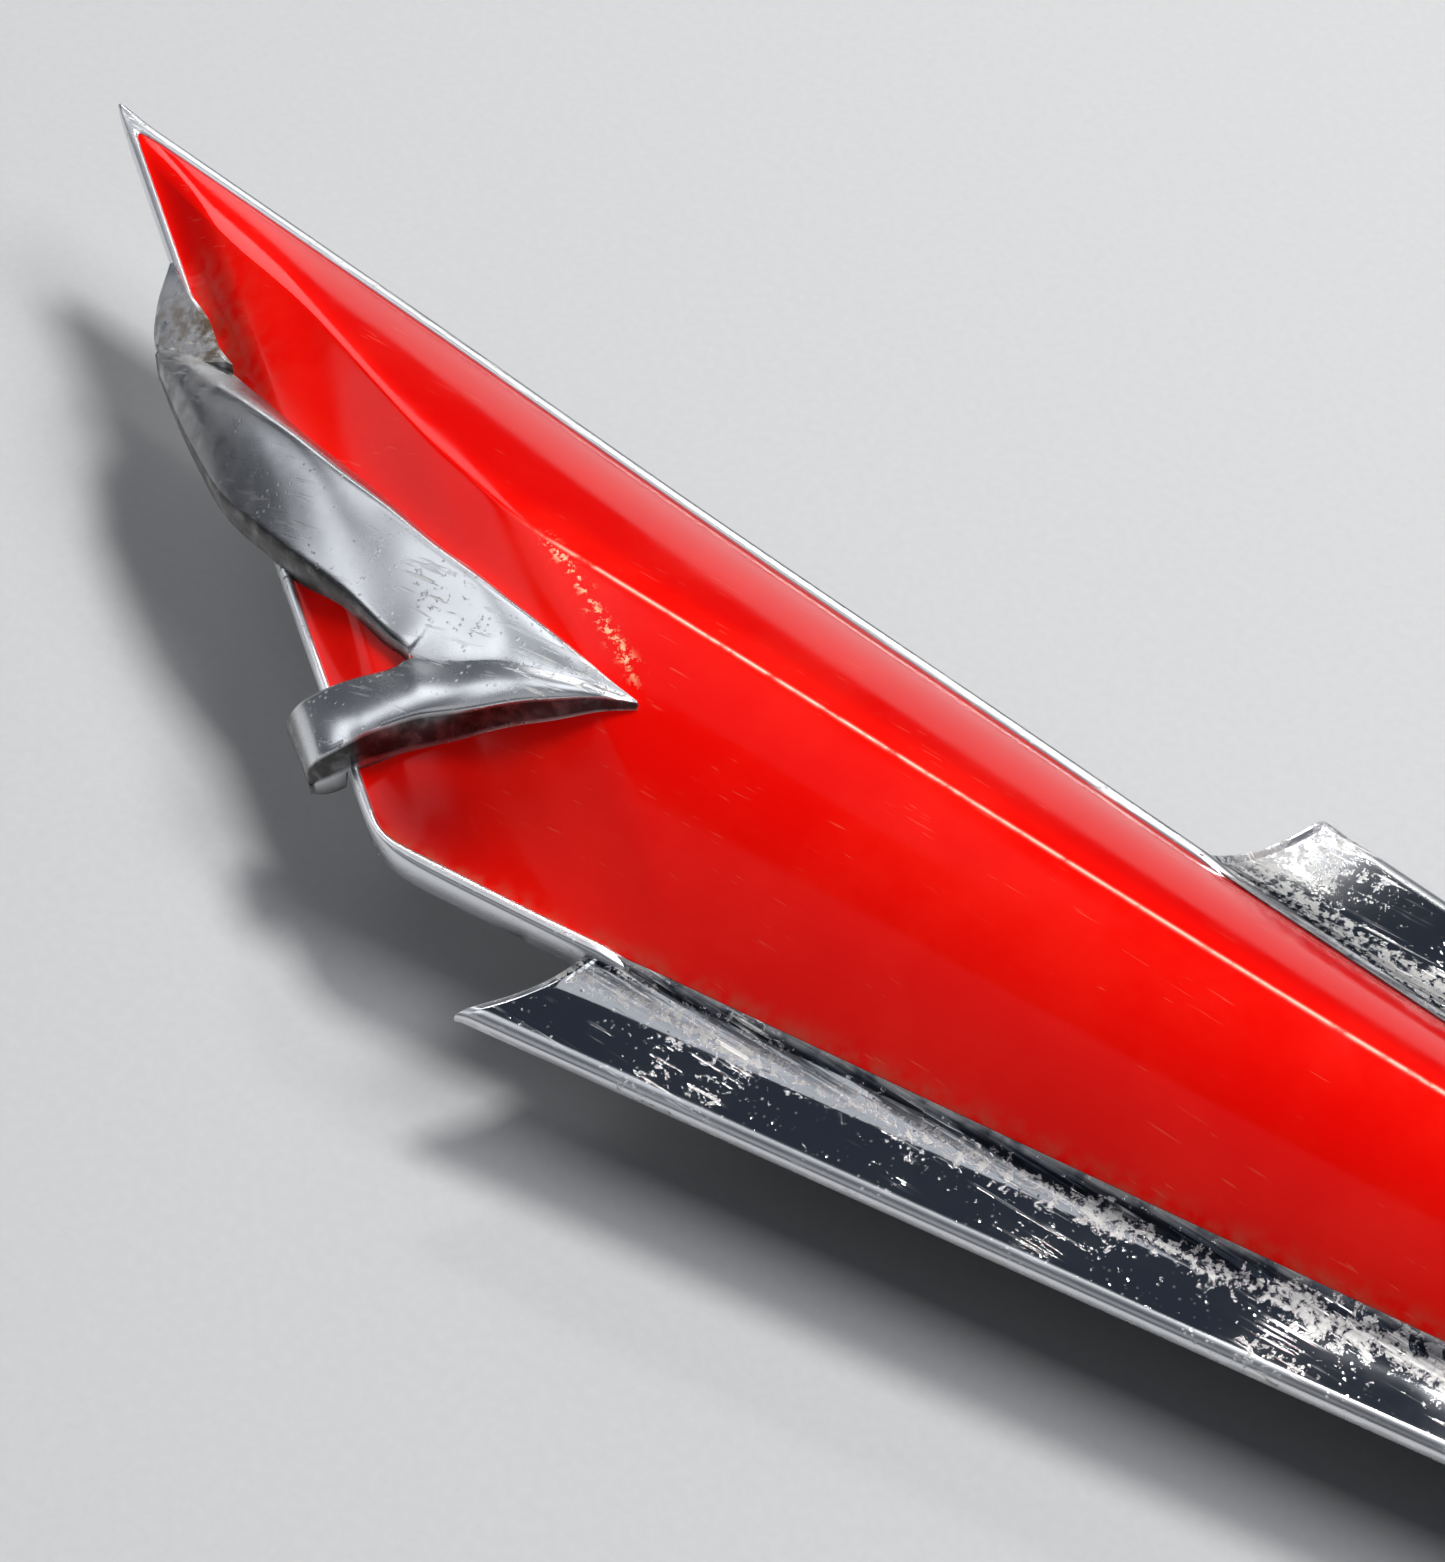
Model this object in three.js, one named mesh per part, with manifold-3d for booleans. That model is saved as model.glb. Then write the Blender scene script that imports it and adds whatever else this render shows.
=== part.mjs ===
// Hood ornament: a raked-tail chrome spear with a red acrylic insert, a chrome delta trim
// clipped over its tail, and the studs, washers and nuts that hold it to a hood.
// Millimetres. +X runs forward to the nose, +Y to the long side of the raked tail, +Z up.
// The origin is on the underside of the mounting pad, on the spear's centre line.
import * as THREE from 'three';
import { mergeVertices } from 'three/addons/utils/BufferGeometryUtils.js';
import Module from 'manifold-3d';

const wasm = await Module();
wasm.setup();

// Plan, measured forward from the tail tip and sideways from the centre line.
const ORIGIN_X = 190;
const NOSE_X = 345;
const TAIL_TIP = [0, 38.5];
const TAIL_HEEL = [97.7, -28.7];
const FAR_SIDE = { y: 37.1, slope: -0.1156 };
const NEAR_SIDE = { y: -35.15, slope: 0.103 };
const INSERT_FRONT = 306;
const OGIVE_START = 250;
const COLLAR_X = 280;
const CLOSING_X = 290;
const RIM = 1.4;
const TAIL_RIM = 0.8;

// Flange outlines: where each one starts on the rim, its swept rear tip, and its outer slope.
const NEAR_FLANGE = { notch: 118.6, tip: [112, -36], slope: 0.134 };
const FAR_FLANGE = { notch: 158.8, tip: [165.6, 32.4], slope: -0.145 };

// Heights, and where the pad ends.
const PAD = 1.2;
const PAD_FRONT = 325;
const FLOOR = 1.3;
const RIM_PROUD = 0.4;
const RIM_DEPTH = 4.2;
const SEAT_DEPTH = 2;
const SKY = 40;
const FLANGE_EDGE = 3.3;
const FLANGE_ROOT = 4.6;
const INSERT_WALL = 3;
const FOIL = 0.5;
const RIDGE_TOP = 21;
const TRIM_LIFT = 0.4;
const TRIM_HOOK = 3.4;

// The opening in the casting under the insert: how far in from the outline, and where it starts
// along each side.
const LEDGE = 3.5;
const HOLE_START = { near: 0.14, far: 0.4 };
const HOLE_END = 0.97;

// Bridges over that opening: place along the spear and width, then a shared depth and middle.
const BRIDGES = [[134, 60], [185, 50], [226, 40], [245, 36]];
const BRIDGE = { length: 9, depth: 2, middle: 3, inset: 2.9 };

// Fixings.
const GAP = 0.3;
const STUD_R = 2.5;
const STUD_LOW = -12;
const BOSS_R = 5;
const BOSS_TOP = 5.4;
const BOSS_CAP = 0.6;
const STUDS = { rear_near: [134, -10.5], rear_far: [134, 11.5], front: [245, 0] };
const POSTS = { rear: [134, 0.5], middle: [185, 0], front: [226, 0] };
const POST_R = 1.6;
const PINS = { front: [97, -6.5], rear: [62, 2.5] };
const PIN_R = 1.2;
const PIN_DROP = 6.2;
const PUSH_NUT_LOW = 1.4;
const HEX_NUT = { acrossFlats: 8, low: -6.5, high: -2.5 };

const lerp = THREE.MathUtils.lerp;
const clamp = THREE.MathUtils.clamp;

// A value that runs in straight stretches through [position, value] pairs.
function stretches(pairs) {
  return (x) => {
    const last = pairs.length - 1;
    let i = 0;
    while (i < last - 1 && x > pairs[i + 1][0]) i += 1;
    const [x0, a] = pairs[i];
    const [x1, b] = pairs[i + 1];
    return lerp(a, b, clamp((x - x0) / (x1 - x0), 0, 1));
  };
}

// The spear's outline, grown outwards by a margin. Its two long sides are joined by cross
// lines that start along the raked tail and close in to the ogive at the front.
function outline(margin) {
  const rake = Math.atan2(TAIL_HEEL[1] - TAIL_TIP[1], TAIL_HEEL[0] - TAIL_TIP[0]);
  const tan = Math.tan(rake);
  const back = (Math.min(margin, TAIL_RIM) - TAIL_RIM) / Math.cos(rake);
  const tail = { y: TAIL_TIP[1] - back, slope: tan };
  const side = (line, sign) => {
    const y = line.y + sign * margin;
    const start = (y - tail.y) / (tail.slope - line.slope);
    return { y, slope: line.slope, start };
  };
  const nearLine = side(NEAR_SIDE, -1);
  const farLine = side(FAR_SIDE, 1);
  const front = INSERT_FRONT + margin;
  const at = (line, x) => line.y + line.slope * x;
  const point = (line, u) => {
    const x = lerp(line.start, front, u);
    const middle = (at(nearLine, x) + at(farLine, x)) / 2;
    const r = clamp((x - OGIVE_START) / (front - OGIVE_START), 0, 1);
    return [x, middle + (at(line, x) - middle) * Math.sqrt(1.0004 - r * r)];
  };
  return { near: (u) => point(nearLine, u), far: (u) => point(farLine, u) };
}

const edge = outline(0);
const rimNear = stretches([[0, 5.6], [0.12, 4.6], [1, 4.2]]);
const rimFar = stretches([
  [0, 12.4], [0.16, 10.3], [0.31, 7.9], [0.44, 6.6], [0.53, 5.7], [1, 4.4],
]);
const rimHeight = (u, v) => lerp(rimNear(u), rimFar(u), v);

// The crease along the insert: how far across it lies, and how high it stands.
const creaseAcross = stretches([
  [0, 0.96], [0.035, 0.83], [0.07, 0.76], [0.12, 0.58], [0.165, 0.5], [0.55, 0.46], [1, 0.5],
]);
const creaseHeight = stretches([
  [0, 12.6], [0.035, 15.4], [0.07, 17], [0.12, 19.7], [0.165, RIDGE_TOP], [0.55, 15.6],
  [0.85, 11], [1, 8],
]);

function crown(u, v) {
  const across = creaseAcross(u);
  const rim = rimHeight(u, v < across ? 0 : 1);
  const t = v < across ? v / across : (1 - v) / (1 - across);
  const near = 0.35 * t + 0.65 * (1 - (1 - t) ** 2.6);
  const far = 0.45 * t + 0.55 * (1 - (1 - t) ** 2);
  const rise = v < across ? near : far;
  const grow = Math.sin((Math.PI / 2) * Math.min(1, u / 0.032));
  return lerp(rimHeight(u, v), lerp(rim, creaseHeight(u), rise), grow);
}

// The cross line and the place along it of any plan point, held at the tail beyond the rake.
function across(x, y) {
  const offLine = (u) => {
    const [nx, ny] = edge.near(u);
    const [fx, fy] = edge.far(u);
    return (fx - nx) * (y - ny) - (fy - ny) * (x - nx);
  };
  let low = 0;
  let high = 1;
  for (let i = 0; i < 30; i += 1) {
    const mid = (low + high) / 2;
    if (offLine(mid) < 0) low = mid;
    else high = mid;
  }
  const [nx, ny] = edge.near(low);
  const [fx, fy] = edge.far(low);
  const v = ((x - nx) * (fx - nx) + (y - ny) * (fy - ny)) / ((fx - nx) ** 2 + (fy - ny) ** 2);
  return [low, clamp(v, 0, 1)];
}
const crownAt = (x, y) => crown(...across(x, y));

// A closed body between a top and a bottom height over a ruled plan.
function slab(near, far, top, bottom, steps, lanes) {
  const position = [];
  for (const height of [top, bottom]) {
    for (let i = 0; i <= steps; i += 1) {
      const u = i / steps;
      const a = near(u);
      const b = far(u);
      for (let j = 0; j <= lanes; j += 1) {
        const v = j / lanes;
        const x = lerp(a[0], b[0], v);
        const y = lerp(a[1], b[1], v);
        position.push(x, y, height(u, v, x, y));
      }
    }
  }
  const layer = (steps + 1) * (lanes + 1);
  const id = (i, j, under) => under * layer + i * (lanes + 1) + j;
  const index = [];
  const quad = (a, b, c, d) => index.push(a, b, c, a, c, d);
  for (let i = 0; i < steps; i += 1) {
    for (let j = 0; j < lanes; j += 1) {
      quad(id(i, j, 0), id(i + 1, j, 0), id(i + 1, j + 1, 0), id(i, j + 1, 0));
      quad(id(i, j, 1), id(i, j + 1, 1), id(i + 1, j + 1, 1), id(i + 1, j, 1));
    }
    quad(id(i, 0, 1), id(i + 1, 0, 1), id(i + 1, 0, 0), id(i, 0, 0));
    quad(id(i, lanes, 0), id(i + 1, lanes, 0), id(i + 1, lanes, 1), id(i, lanes, 1));
  }
  for (let j = 0; j < lanes; j += 1) {
    quad(id(0, j, 0), id(0, j + 1, 0), id(0, j + 1, 1), id(0, j, 1));
    quad(id(steps, j, 1), id(steps, j + 1, 1), id(steps, j + 1, 0), id(steps, j, 0));
  }
  const geometry = new THREE.BufferGeometry();
  geometry.setAttribute('position', new THREE.Float32BufferAttribute(position, 3));
  geometry.setIndex(index);
  return geometry;
}

// Solids to join and cut, and back to geometry.
function solid(geometry) {
  const plain = geometry.clone();
  plain.deleteAttribute('normal');
  plain.deleteAttribute('uv');
  const merged = mergeVertices(plain, 1e-5);
  const vertProperties = new Float32Array(merged.attributes.position.array);
  const triVerts = new Uint32Array(merged.index.array);
  return new wasm.Manifold(new wasm.Mesh({ numProp: 3, vertProperties, triVerts }));
}

function surface(body) {
  const mesh = body.getMesh();
  const geometry = new THREE.BufferGeometry();
  geometry.setAttribute('position', new THREE.Float32BufferAttribute(mesh.vertProperties, 3));
  geometry.setIndex(Array.from(mesh.triVerts));
  return geometry;
}

function rod([x, y], radius, low, high, sides = 24) {
  const geometry = new THREE.CylinderGeometry(radius, radius, high - low, sides);
  return geometry.rotateX(Math.PI / 2).translate(x, y, (low + high) / 2);
}

function ring([x, y], inner, outer, low, high, sides = 24) {
  const corners = [[inner, low], [outer, low], [outer, high], [inner, high], [inner, low]];
  const profile = corners.map(([r, z]) => new THREE.Vector2(r, z));
  return new THREE.LatheGeometry(profile, sides).rotateX(Math.PI / 2).translate(x, y, 0);
}

function hexNut([x, y], bore, { acrossFlats, low, high }) {
  const shape = new THREE.Shape();
  const corner = acrossFlats / Math.sqrt(3);
  for (let i = 0; i < 6; i += 1) {
    const turn = (i * Math.PI) / 3;
    const place = [corner * Math.cos(turn), corner * Math.sin(turn)];
    if (i === 0) shape.moveTo(...place);
    else shape.lineTo(...place);
  }
  shape.closePath();
  const hole = new THREE.Path();
  hole.absarc(0, 0, bore, 0, 2 * Math.PI, true);
  shape.holes.push(hole);
  const options = { depth: high - low, bevelEnabled: false, curveSegments: 12 };
  return new THREE.ExtrudeGeometry(shape, options).translate(x, y, low);
}

const materials = {
  chrome: { color: 0xc9ccd0, metalness: 1, roughness: 0.18 },
  red_acrylic: { color: 0xc4120c, metalness: 0, roughness: 0.12 },
  foil: { color: 0xb9bdc2, metalness: 1, roughness: 0.35 },
  rubber: { color: 0x1b1b1c, metalness: 0, roughness: 0.9 },
  steel: { color: 0x9b9c98, metalness: 1, roughness: 0.45 },
};

const ornament = new THREE.Group();
const assembly = new THREE.Group();
assembly.position.x = -ORIGIN_X;
ornament.add(assembly);

function addPart(name, geometry, material) {
  const mesh = new THREE.Mesh(geometry, new THREE.MeshStandardMaterial(materials[material]));
  mesh.name = name;
  assembly.add(mesh);
}

// Red insert: a creased, hollow-backed moulding with three locating posts.
const insertSeat = (u, v) => rimHeight(u, v) - SEAT_DEPTH;
function insertUnder(u, v) {
  return Math.max(insertSeat(u, v), crown(u, v) - INSERT_WALL);
}
function buildInsert() {
  let body = solid(slab(edge.near, edge.far, crown, insertUnder, 44, 14));
  for (const place of Object.values(POSTS)) {
    body = body.add(solid(rod(place, POST_R, PUSH_NUT_LOW, crownAt(...place) - INSERT_WALL / 2, 16)));
  }
  for (const place of Object.values(PINS)) {
    body = body.subtract(solid(rod(place, PIN_R + GAP, 0, SKY, 16)));
  }
  return surface(body);
}

// Reflector: a thin pressed foil that follows the hollow back of the insert.
function buildReflector() {
  const inner = outline(-6);
  const near = (u) => inner.near(lerp(0.06, 0.72, u));
  const far = (u) => inner.far(lerp(0.06, 0.72, u));
  const top = (u, v, x, y) => crownAt(x, y) - INSERT_WALL - 2 * GAP;
  const bottom = (u, v, x, y) => top(u, v, x, y) - FOIL;
  let body = solid(slab(near, far, top, bottom, 30, 8));
  for (const place of Object.values(POSTS)) {
    body = body.subtract(solid(rod(place, POST_R + 2 * GAP, 0, SKY, 16)));
  }
  for (const place of Object.values(PINS)) {
    body = body.subtract(solid(rod(place, PIN_R + 2 * GAP, 0, SKY, 16)));
  }
  return surface(body);
}

// The outer edge of a flange, straight from its rear tip and closing in to the nose.
function flangeEdge({ tip, slope }, x) {
  const closing = clamp((x - CLOSING_X) / (NOSE_X - CLOSING_X), 0, 1);
  return (tip[1] + slope * (x - tip[0])) * Math.sqrt(1.004 - closing * closing);
}

// Flanges: a coved skirt on each long side, thin and swept at its rear tip.
function buildFlange(flange, rimLine, outward) {
  const inner = (u) => {
    const x = lerp(flange.notch, CLOSING_X + 5, u);
    return [x, rimLine.y + rimLine.slope * x + outward * (0.3 + 0.3 * Math.min(1, u * 8))];
  };
  const outer = (u) => {
    const x = lerp(flange.tip[0], CLOSING_X + 5, u);
    return [x, flangeEdge(flange, x)];
  };
  const top = (u, v) => {
    const w = outward < 0 ? v : 1 - v;
    return lerp(FLANGE_EDGE, FLANGE_ROOT, w ** 3);
  };
  const bottom = () => FLOOR;
  if (outward < 0) return solid(slab(outer, inner, top, bottom, 12, 6));
  return solid(slab(inner, outer, top, bottom, 12, 6));
}

// Nose: a solid keeled point that cups the front of the insert.
function buildNose() {
  const along = (u) => lerp(COLLAR_X, NOSE_X, u);
  const near = (u) => [along(u), 0.985 * flangeEdge(NEAR_FLANGE, along(u))];
  const far = (u) => [along(u), 0.985 * flangeEdge(FAR_FLANGE, along(u))];
  const keel = stretches([[0, 4.4], [0.2, 8], [0.4, 9.2], [0.7, 8.2], [1, 4.4]]);
  const top = (u, v) => lerp(keel(u), FLANGE_EDGE, Math.abs(2 * v - 1) ** 0.8);
  return solid(slab(near, far, top, () => FLOOR, 14, 10));
}

// Casting: the rim round the insert, its ledge and tail floor, the flanges, the nose, and
// two bridges with the stud bosses and post holes.
function buildCasting() {
  const rim = outline(RIM);
  const hole = outline(-LEDGE);
  const pocket = outline(GAP);
  const rimTop = (u, v) => rimHeight(u, v) + RIM_PROUD;
  const under = (u, v) => Math.max(FLOOR, rimHeight(u, v) - RIM_DEPTH);
  const seat = (u, v) => insertSeat(u, v) - GAP;
  const high = () => SKY;
  let body = solid(slab(rim.near, rim.far, rimTop, under, 30, 6));
  body = body.add(buildFlange(NEAR_FLANGE, NEAR_SIDE, -1));
  body = body.add(buildFlange(FAR_FLANGE, FAR_SIDE, 1));
  body = body.add(buildNose());
  body = body.subtract(solid(slab(pocket.near, pocket.far, high, seat, 44, 6)));
  const inset = outline(-BRIDGE.inset);
  const within = solid(slab(inset.near, inset.far, high, () => 0, 30, 2));
  const holeNear = (u) => hole.near(lerp(HOLE_START.near, HOLE_END, u));
  const holeFar = (u) => hole.far(lerp(HOLE_START.far, HOLE_END, u));
  body = body.subtract(solid(slab(holeNear, holeFar, high, () => 0, 30, 4)));
  for (const [x, width] of BRIDGES) {
    const bar = new THREE.BoxGeometry(BRIDGE.length, width, BRIDGE.depth);
    bar.translate(x, 0, BRIDGE.middle);
    body = body.add(solid(bar).intersect(within));
  }
  for (const place of Object.values(STUDS)) {
    body = body.add(solid(rod(place, BOSS_R, FLOOR, BOSS_TOP)));
    body = body.subtract(solid(rod(place, STUD_R + GAP, 0, BOSS_TOP - BOSS_CAP)));
  }
  for (const place of Object.values(POSTS)) {
    body = body.subtract(solid(rod(place, POST_R + GAP, 0, SKY, 16)));
  }
  for (const place of Object.values(PINS)) {
    body = body.subtract(solid(rod(place, PIN_R + GAP, 0, SKY, 16)));
  }
  return surface(body);
}

// Delta trim: a swept arrowhead that sits on the near slope and hooks over the raked tail.
function buildVee() {
  const upper = new THREE.SplineCurve([
    [30.5, 12.9], [41, 11.8], [56.5, 7.2], [73.5, 3], [94.6, -2.5], [111, -5.8],
  ].map((p) => new THREE.Vector2(...p)));
  const lower = new THREE.SplineCurve([
    [80, -26.2], [86.3, -21.5], [91.4, -16.7], [97.2, -12.6], [104.8, -9.3], [111, -6.4],
  ].map((p) => new THREE.Vector2(...p)));
  const near = (u) => lower.getPoint(u).toArray();
  const far = (u) => upper.getPoint(u).toArray();
  const rise = stretches([[0, 3.6], [0.5, 3.2], [0.85, 2.2], [1, 0.8]]);
  const bevel = (v) => Math.min(1, 0.25 + v / 0.16, 0.3 + (1 - v) / 0.12);
  const top = (u, v, x, y) => crownAt(x, y) + TRIM_LIFT + rise(u) * bevel(v);
  const bottom = (u, v, x, y) => crownAt(x, y) - TRIM_HOOK;
  const body = solid(slab(near, far, top, bottom, 26, 12));

  const around = outline(RIM + GAP);
  const clear = (u, v) => {
    const margin = Math.min(u / 0.02, v / 0.05, (1 - v) / 0.05, 1);
    return crown(u, v) + lerp(RIM_PROUD + GAP, GAP, clamp(margin, 0, 1));
  };
  const taken = solid(slab(around.near, around.far, clear, () => -5, 40, 14));

  const notch = new THREE.Shape();
  notch.moveTo(85.2, -10);
  notch.quadraticCurveTo(86.6, -10.7, 85.2, -11.5);
  notch.lineTo(79.8, -15.6);
  notch.lineTo(76, -19);
  notch.lineTo(60, -34);
  notch.lineTo(24, 8);
  notch.lineTo(32, 10.4);
  notch.quadraticCurveTo(45, -1, 59.5, -3.9);
  notch.closePath();
  const options = { depth: SKY, bevelEnabled: false, curveSegments: 6 };
  const window = solid(new THREE.ExtrudeGeometry(notch, options));
  const pieces = body.subtract(taken).subtract(window).decompose();
  let [vee] = pieces.sort((a, b) => b.volume() - a.volume());
  for (const place of Object.values(PINS)) {
    const end = rimHeight(...across(...place)) - PIN_DROP;
    vee = vee.add(solid(rod(place, PIN_R, end, crownAt(...place) + 1.5, 16)));
  }
  return surface(vee);
}

// Mounting pad: a rubber sheet under the casting's flat base.
function buildPad() {
  const nearLine = stretches([[118, -32.5], [290, -11.3], [PAD_FRONT, -5]]);
  const farLine = stretches([[118, 21], [160, 16.5], [172, 27.5], [290, 11], [PAD_FRONT, 6]]);
  const along = (u) => lerp(118, PAD_FRONT, u);
  const near = (u) => [along(u), nearLine(along(u))];
  const far = (u) => [along(u), farLine(along(u))];
  let pad = solid(slab(near, far, () => PAD, () => 0, 44, 2));
  for (const place of Object.values(STUDS)) {
    pad = pad.subtract(solid(rod(place, STUD_R + GAP, -1, 3)));
  }
  return surface(pad);
}

addPart('casting', buildCasting(), 'chrome');
addPart('red_insert', buildInsert(), 'red_acrylic');
addPart('reflector', buildReflector(), 'foil');
addPart('delta_trim', buildVee(), 'chrome');
addPart('mounting_pad', buildPad(), 'rubber');

for (const [name, place] of Object.entries(STUDS)) {
  addPart(`stud_${name}`, rod(place, STUD_R, STUD_LOW, BOSS_TOP - BOSS_CAP - GAP), 'steel');
  addPart(`washer_${name}`, ring(place, STUD_R + 0.2, 6, -1.1, -0.1), 'steel');
  addPart(`lock_washer_${name}`, ring(place, STUD_R + 0.2, 4.4, -2.4, -1.2), 'steel');
  addPart(`nut_${name}`, hexNut(place, STUD_R + 0.2, HEX_NUT), 'steel');
}
for (const [name, place] of Object.entries(POSTS)) {
  const nut = ring(place, POST_R + 0.1, 4.2, PUSH_NUT_LOW, PUSH_NUT_LOW + 0.4);
  addPart(`push_nut_${name}`, nut, 'steel');
}
for (const [name, place] of Object.entries(PINS)) {
  const low = rimHeight(...across(...place)) - RIM_DEPTH;
  addPart(`trim_nut_${name}`, ring(place, PIN_R + 0.1, 3, low - 1.1, low - 0.65), 'steel');
}

export default ornament;
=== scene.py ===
"""Hood ornament: the looks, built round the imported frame."""
import math

import bmesh
import bpy
import numpy as np
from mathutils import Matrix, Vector


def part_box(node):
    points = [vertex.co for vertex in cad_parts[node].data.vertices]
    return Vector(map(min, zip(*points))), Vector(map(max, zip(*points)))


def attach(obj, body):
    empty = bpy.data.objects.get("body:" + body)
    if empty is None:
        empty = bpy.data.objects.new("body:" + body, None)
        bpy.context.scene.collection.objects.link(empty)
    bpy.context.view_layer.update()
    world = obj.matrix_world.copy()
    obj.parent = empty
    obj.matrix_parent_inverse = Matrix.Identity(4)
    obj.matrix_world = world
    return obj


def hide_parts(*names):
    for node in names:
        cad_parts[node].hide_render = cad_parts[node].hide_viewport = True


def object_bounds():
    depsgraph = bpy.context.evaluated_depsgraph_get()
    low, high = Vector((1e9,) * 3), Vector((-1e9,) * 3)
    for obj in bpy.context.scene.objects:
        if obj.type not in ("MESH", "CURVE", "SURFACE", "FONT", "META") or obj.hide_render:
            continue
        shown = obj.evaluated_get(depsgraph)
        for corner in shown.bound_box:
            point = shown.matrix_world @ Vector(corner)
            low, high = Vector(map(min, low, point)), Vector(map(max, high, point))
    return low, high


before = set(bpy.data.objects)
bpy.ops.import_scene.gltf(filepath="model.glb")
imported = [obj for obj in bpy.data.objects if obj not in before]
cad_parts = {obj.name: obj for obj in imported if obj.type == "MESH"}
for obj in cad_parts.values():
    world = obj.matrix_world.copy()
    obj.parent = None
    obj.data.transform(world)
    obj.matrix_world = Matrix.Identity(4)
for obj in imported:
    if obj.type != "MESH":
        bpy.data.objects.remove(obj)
cad_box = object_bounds()

# ---------------------------------------------------------------- the spear, in millimetres
# Measured forward from the tail tip and sideways from the centre line, as in the frame.
# RAKE_IN points squarely in from the raked tail edge.
MM = 0.001
CASTING_LOW, CASTING_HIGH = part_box("casting")
TAIL_X = CASTING_LOW.x / MM
NOSE_X = (CASTING_HIGH.x - CASTING_LOW.x) / MM
FLOOR_Z = cad_box[0].z
TAIL_TIP = (0.0, 38.5)
TAIL_HEEL = (97.7, -28.7)
RAKE_IN = np.array((0.567, 0.824))
FAR_SIDE = (37.1, -0.1156)
NEAR_SIDE = (-35.15, 0.103)
INSERT_FRONT = 306.0
OGIVE_START = 250.0
CLOSING_X = 290.0
COLLAR_X = 280.0
RIM = 1.4
TAIL_RIM = 0.8
BASE = 1.3
FLANGE_EDGE = 3.3
NEAR_FLANGE = {"notch": 118.6, "tip": (112.0, -36.0), "slope": 0.134}
FAR_FLANGE = {"notch": 158.8, "tip": (165.6, 32.4), "slope": -0.145}


def lerp(a, b, t):
    return a + (b - a) * t


def smoothstep(a, b, x):
    t = np.clip((np.asarray(x, float) - a) / (b - a), 0, 1)
    return t * t * (3 - 2 * t)


def flowing(pairs):
    """A smooth curve through (position, value) pairs that doesn't overshoot them."""
    xs = np.array([p[0] for p in pairs], float)
    ys = np.array([p[1] for p in pairs], float)
    step = np.diff(ys) / np.diff(xs)
    slopes = np.zeros(len(xs))
    for i in range(1, len(xs) - 1):
        if step[i - 1] * step[i] > 0:
            slopes[i] = 2 / (1 / step[i - 1] + 1 / step[i])
    slopes[0], slopes[-1] = step[0], step[-1]

    def value(x):
        x = np.clip(np.asarray(x, float), xs[0], xs[-1])
        i = np.clip(np.searchsorted(xs, x) - 1, 0, len(xs) - 2)
        h = xs[i + 1] - xs[i]
        t = (x - xs[i]) / h
        a = (1 + 2 * t) * (1 - t) ** 2 * ys[i] + t * (1 - t) ** 2 * h * slopes[i]
        b = t * t * (3 - 2 * t) * ys[i + 1] + t * t * (t - 1) * h * slopes[i + 1]
        return a + b

    return value


class Outline:
    """The spear's outline grown outwards by a margin, with cross lines from u = 0 to 1."""

    def __init__(self, margin):
        rake = math.atan2(TAIL_HEEL[1] - TAIL_TIP[1], TAIL_HEEL[0] - TAIL_TIP[0])
        tail_margin = margin * TAIL_RIM / RIM if margin > 0 else margin
        tail_y = TAIL_TIP[1] - (tail_margin - TAIL_RIM) / math.cos(rake)
        self.front = INSERT_FRONT + margin
        self.sides = []
        for (y, slope), sign in ((NEAR_SIDE, -1), (FAR_SIDE, 1)):
            y += sign * margin
            start = (y - tail_y) / (math.tan(rake) - slope)
            self.sides.append((y, slope, start))

    def side(self, which, u):
        u = np.asarray(u, float)
        y0, slope, start = self.sides[which]
        x = lerp(start, self.front, u)
        middle = sum(s[0] + s[1] * x for s in self.sides) / 2
        r = np.clip((x - OGIVE_START) / (self.front - OGIVE_START), 0, 1)
        y = middle + (y0 + slope * x - middle) * np.sqrt(1.0004 - r * r)
        return np.stack([x, y], -1)

    def near(self, u):
        return self.side(0, u)

    def far(self, u):
        return self.side(1, u)


EDGE = Outline(0)
rim_near = flowing([(0, 5.6), (0.12, 4.6), (1, 4.2)])
rim_far = flowing([(0, 12.4), (0.16, 10.3), (0.31, 7.9), (0.44, 6.6), (0.53, 5.7), (1, 4.4)])
crease_across = flowing([
    (0, 0.96), (0.035, 0.83), (0.07, 0.76), (0.12, 0.58), (0.165, 0.5), (0.55, 0.46), (1, 0.5),
])
crease_height = flowing([
    (0, 12.6), (0.035, 15.4), (0.07, 17), (0.12, 19.5), (0.165, 20.7), (0.55, 15.6), (0.85, 11),
    (1, 8),
])
CREASE_ROUND = 0.012


def rim_height(u, v):
    return lerp(rim_near(u), rim_far(u), v)


def soften(t):
    """Rounds off the crease where t reaches 1."""
    full = math.sqrt(1 + CREASE_ROUND ** 2) - CREASE_ROUND
    return 1 - (np.sqrt((1 - t) ** 2 + CREASE_ROUND ** 2) - CREASE_ROUND) / full


def dome(u, v):
    """Height of the two faces that meet at the crease."""
    u, v = np.asarray(u, float), np.asarray(v, float)
    mid = crease_across(u)
    on_near = v < mid
    t = soften(np.where(on_near, v / mid, (1 - v) / (1 - mid)))
    rise_near = 0.35 * t + 0.65 * (1 - (1 - t) ** 2.6)
    rise_far = 0.45 * t + 0.55 * (1 - (1 - t) ** 2)
    foot = np.where(on_near, rim_near(u), rim_far(u))
    return lerp(foot, crease_height(u), np.where(on_near, rise_near, rise_far))


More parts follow.
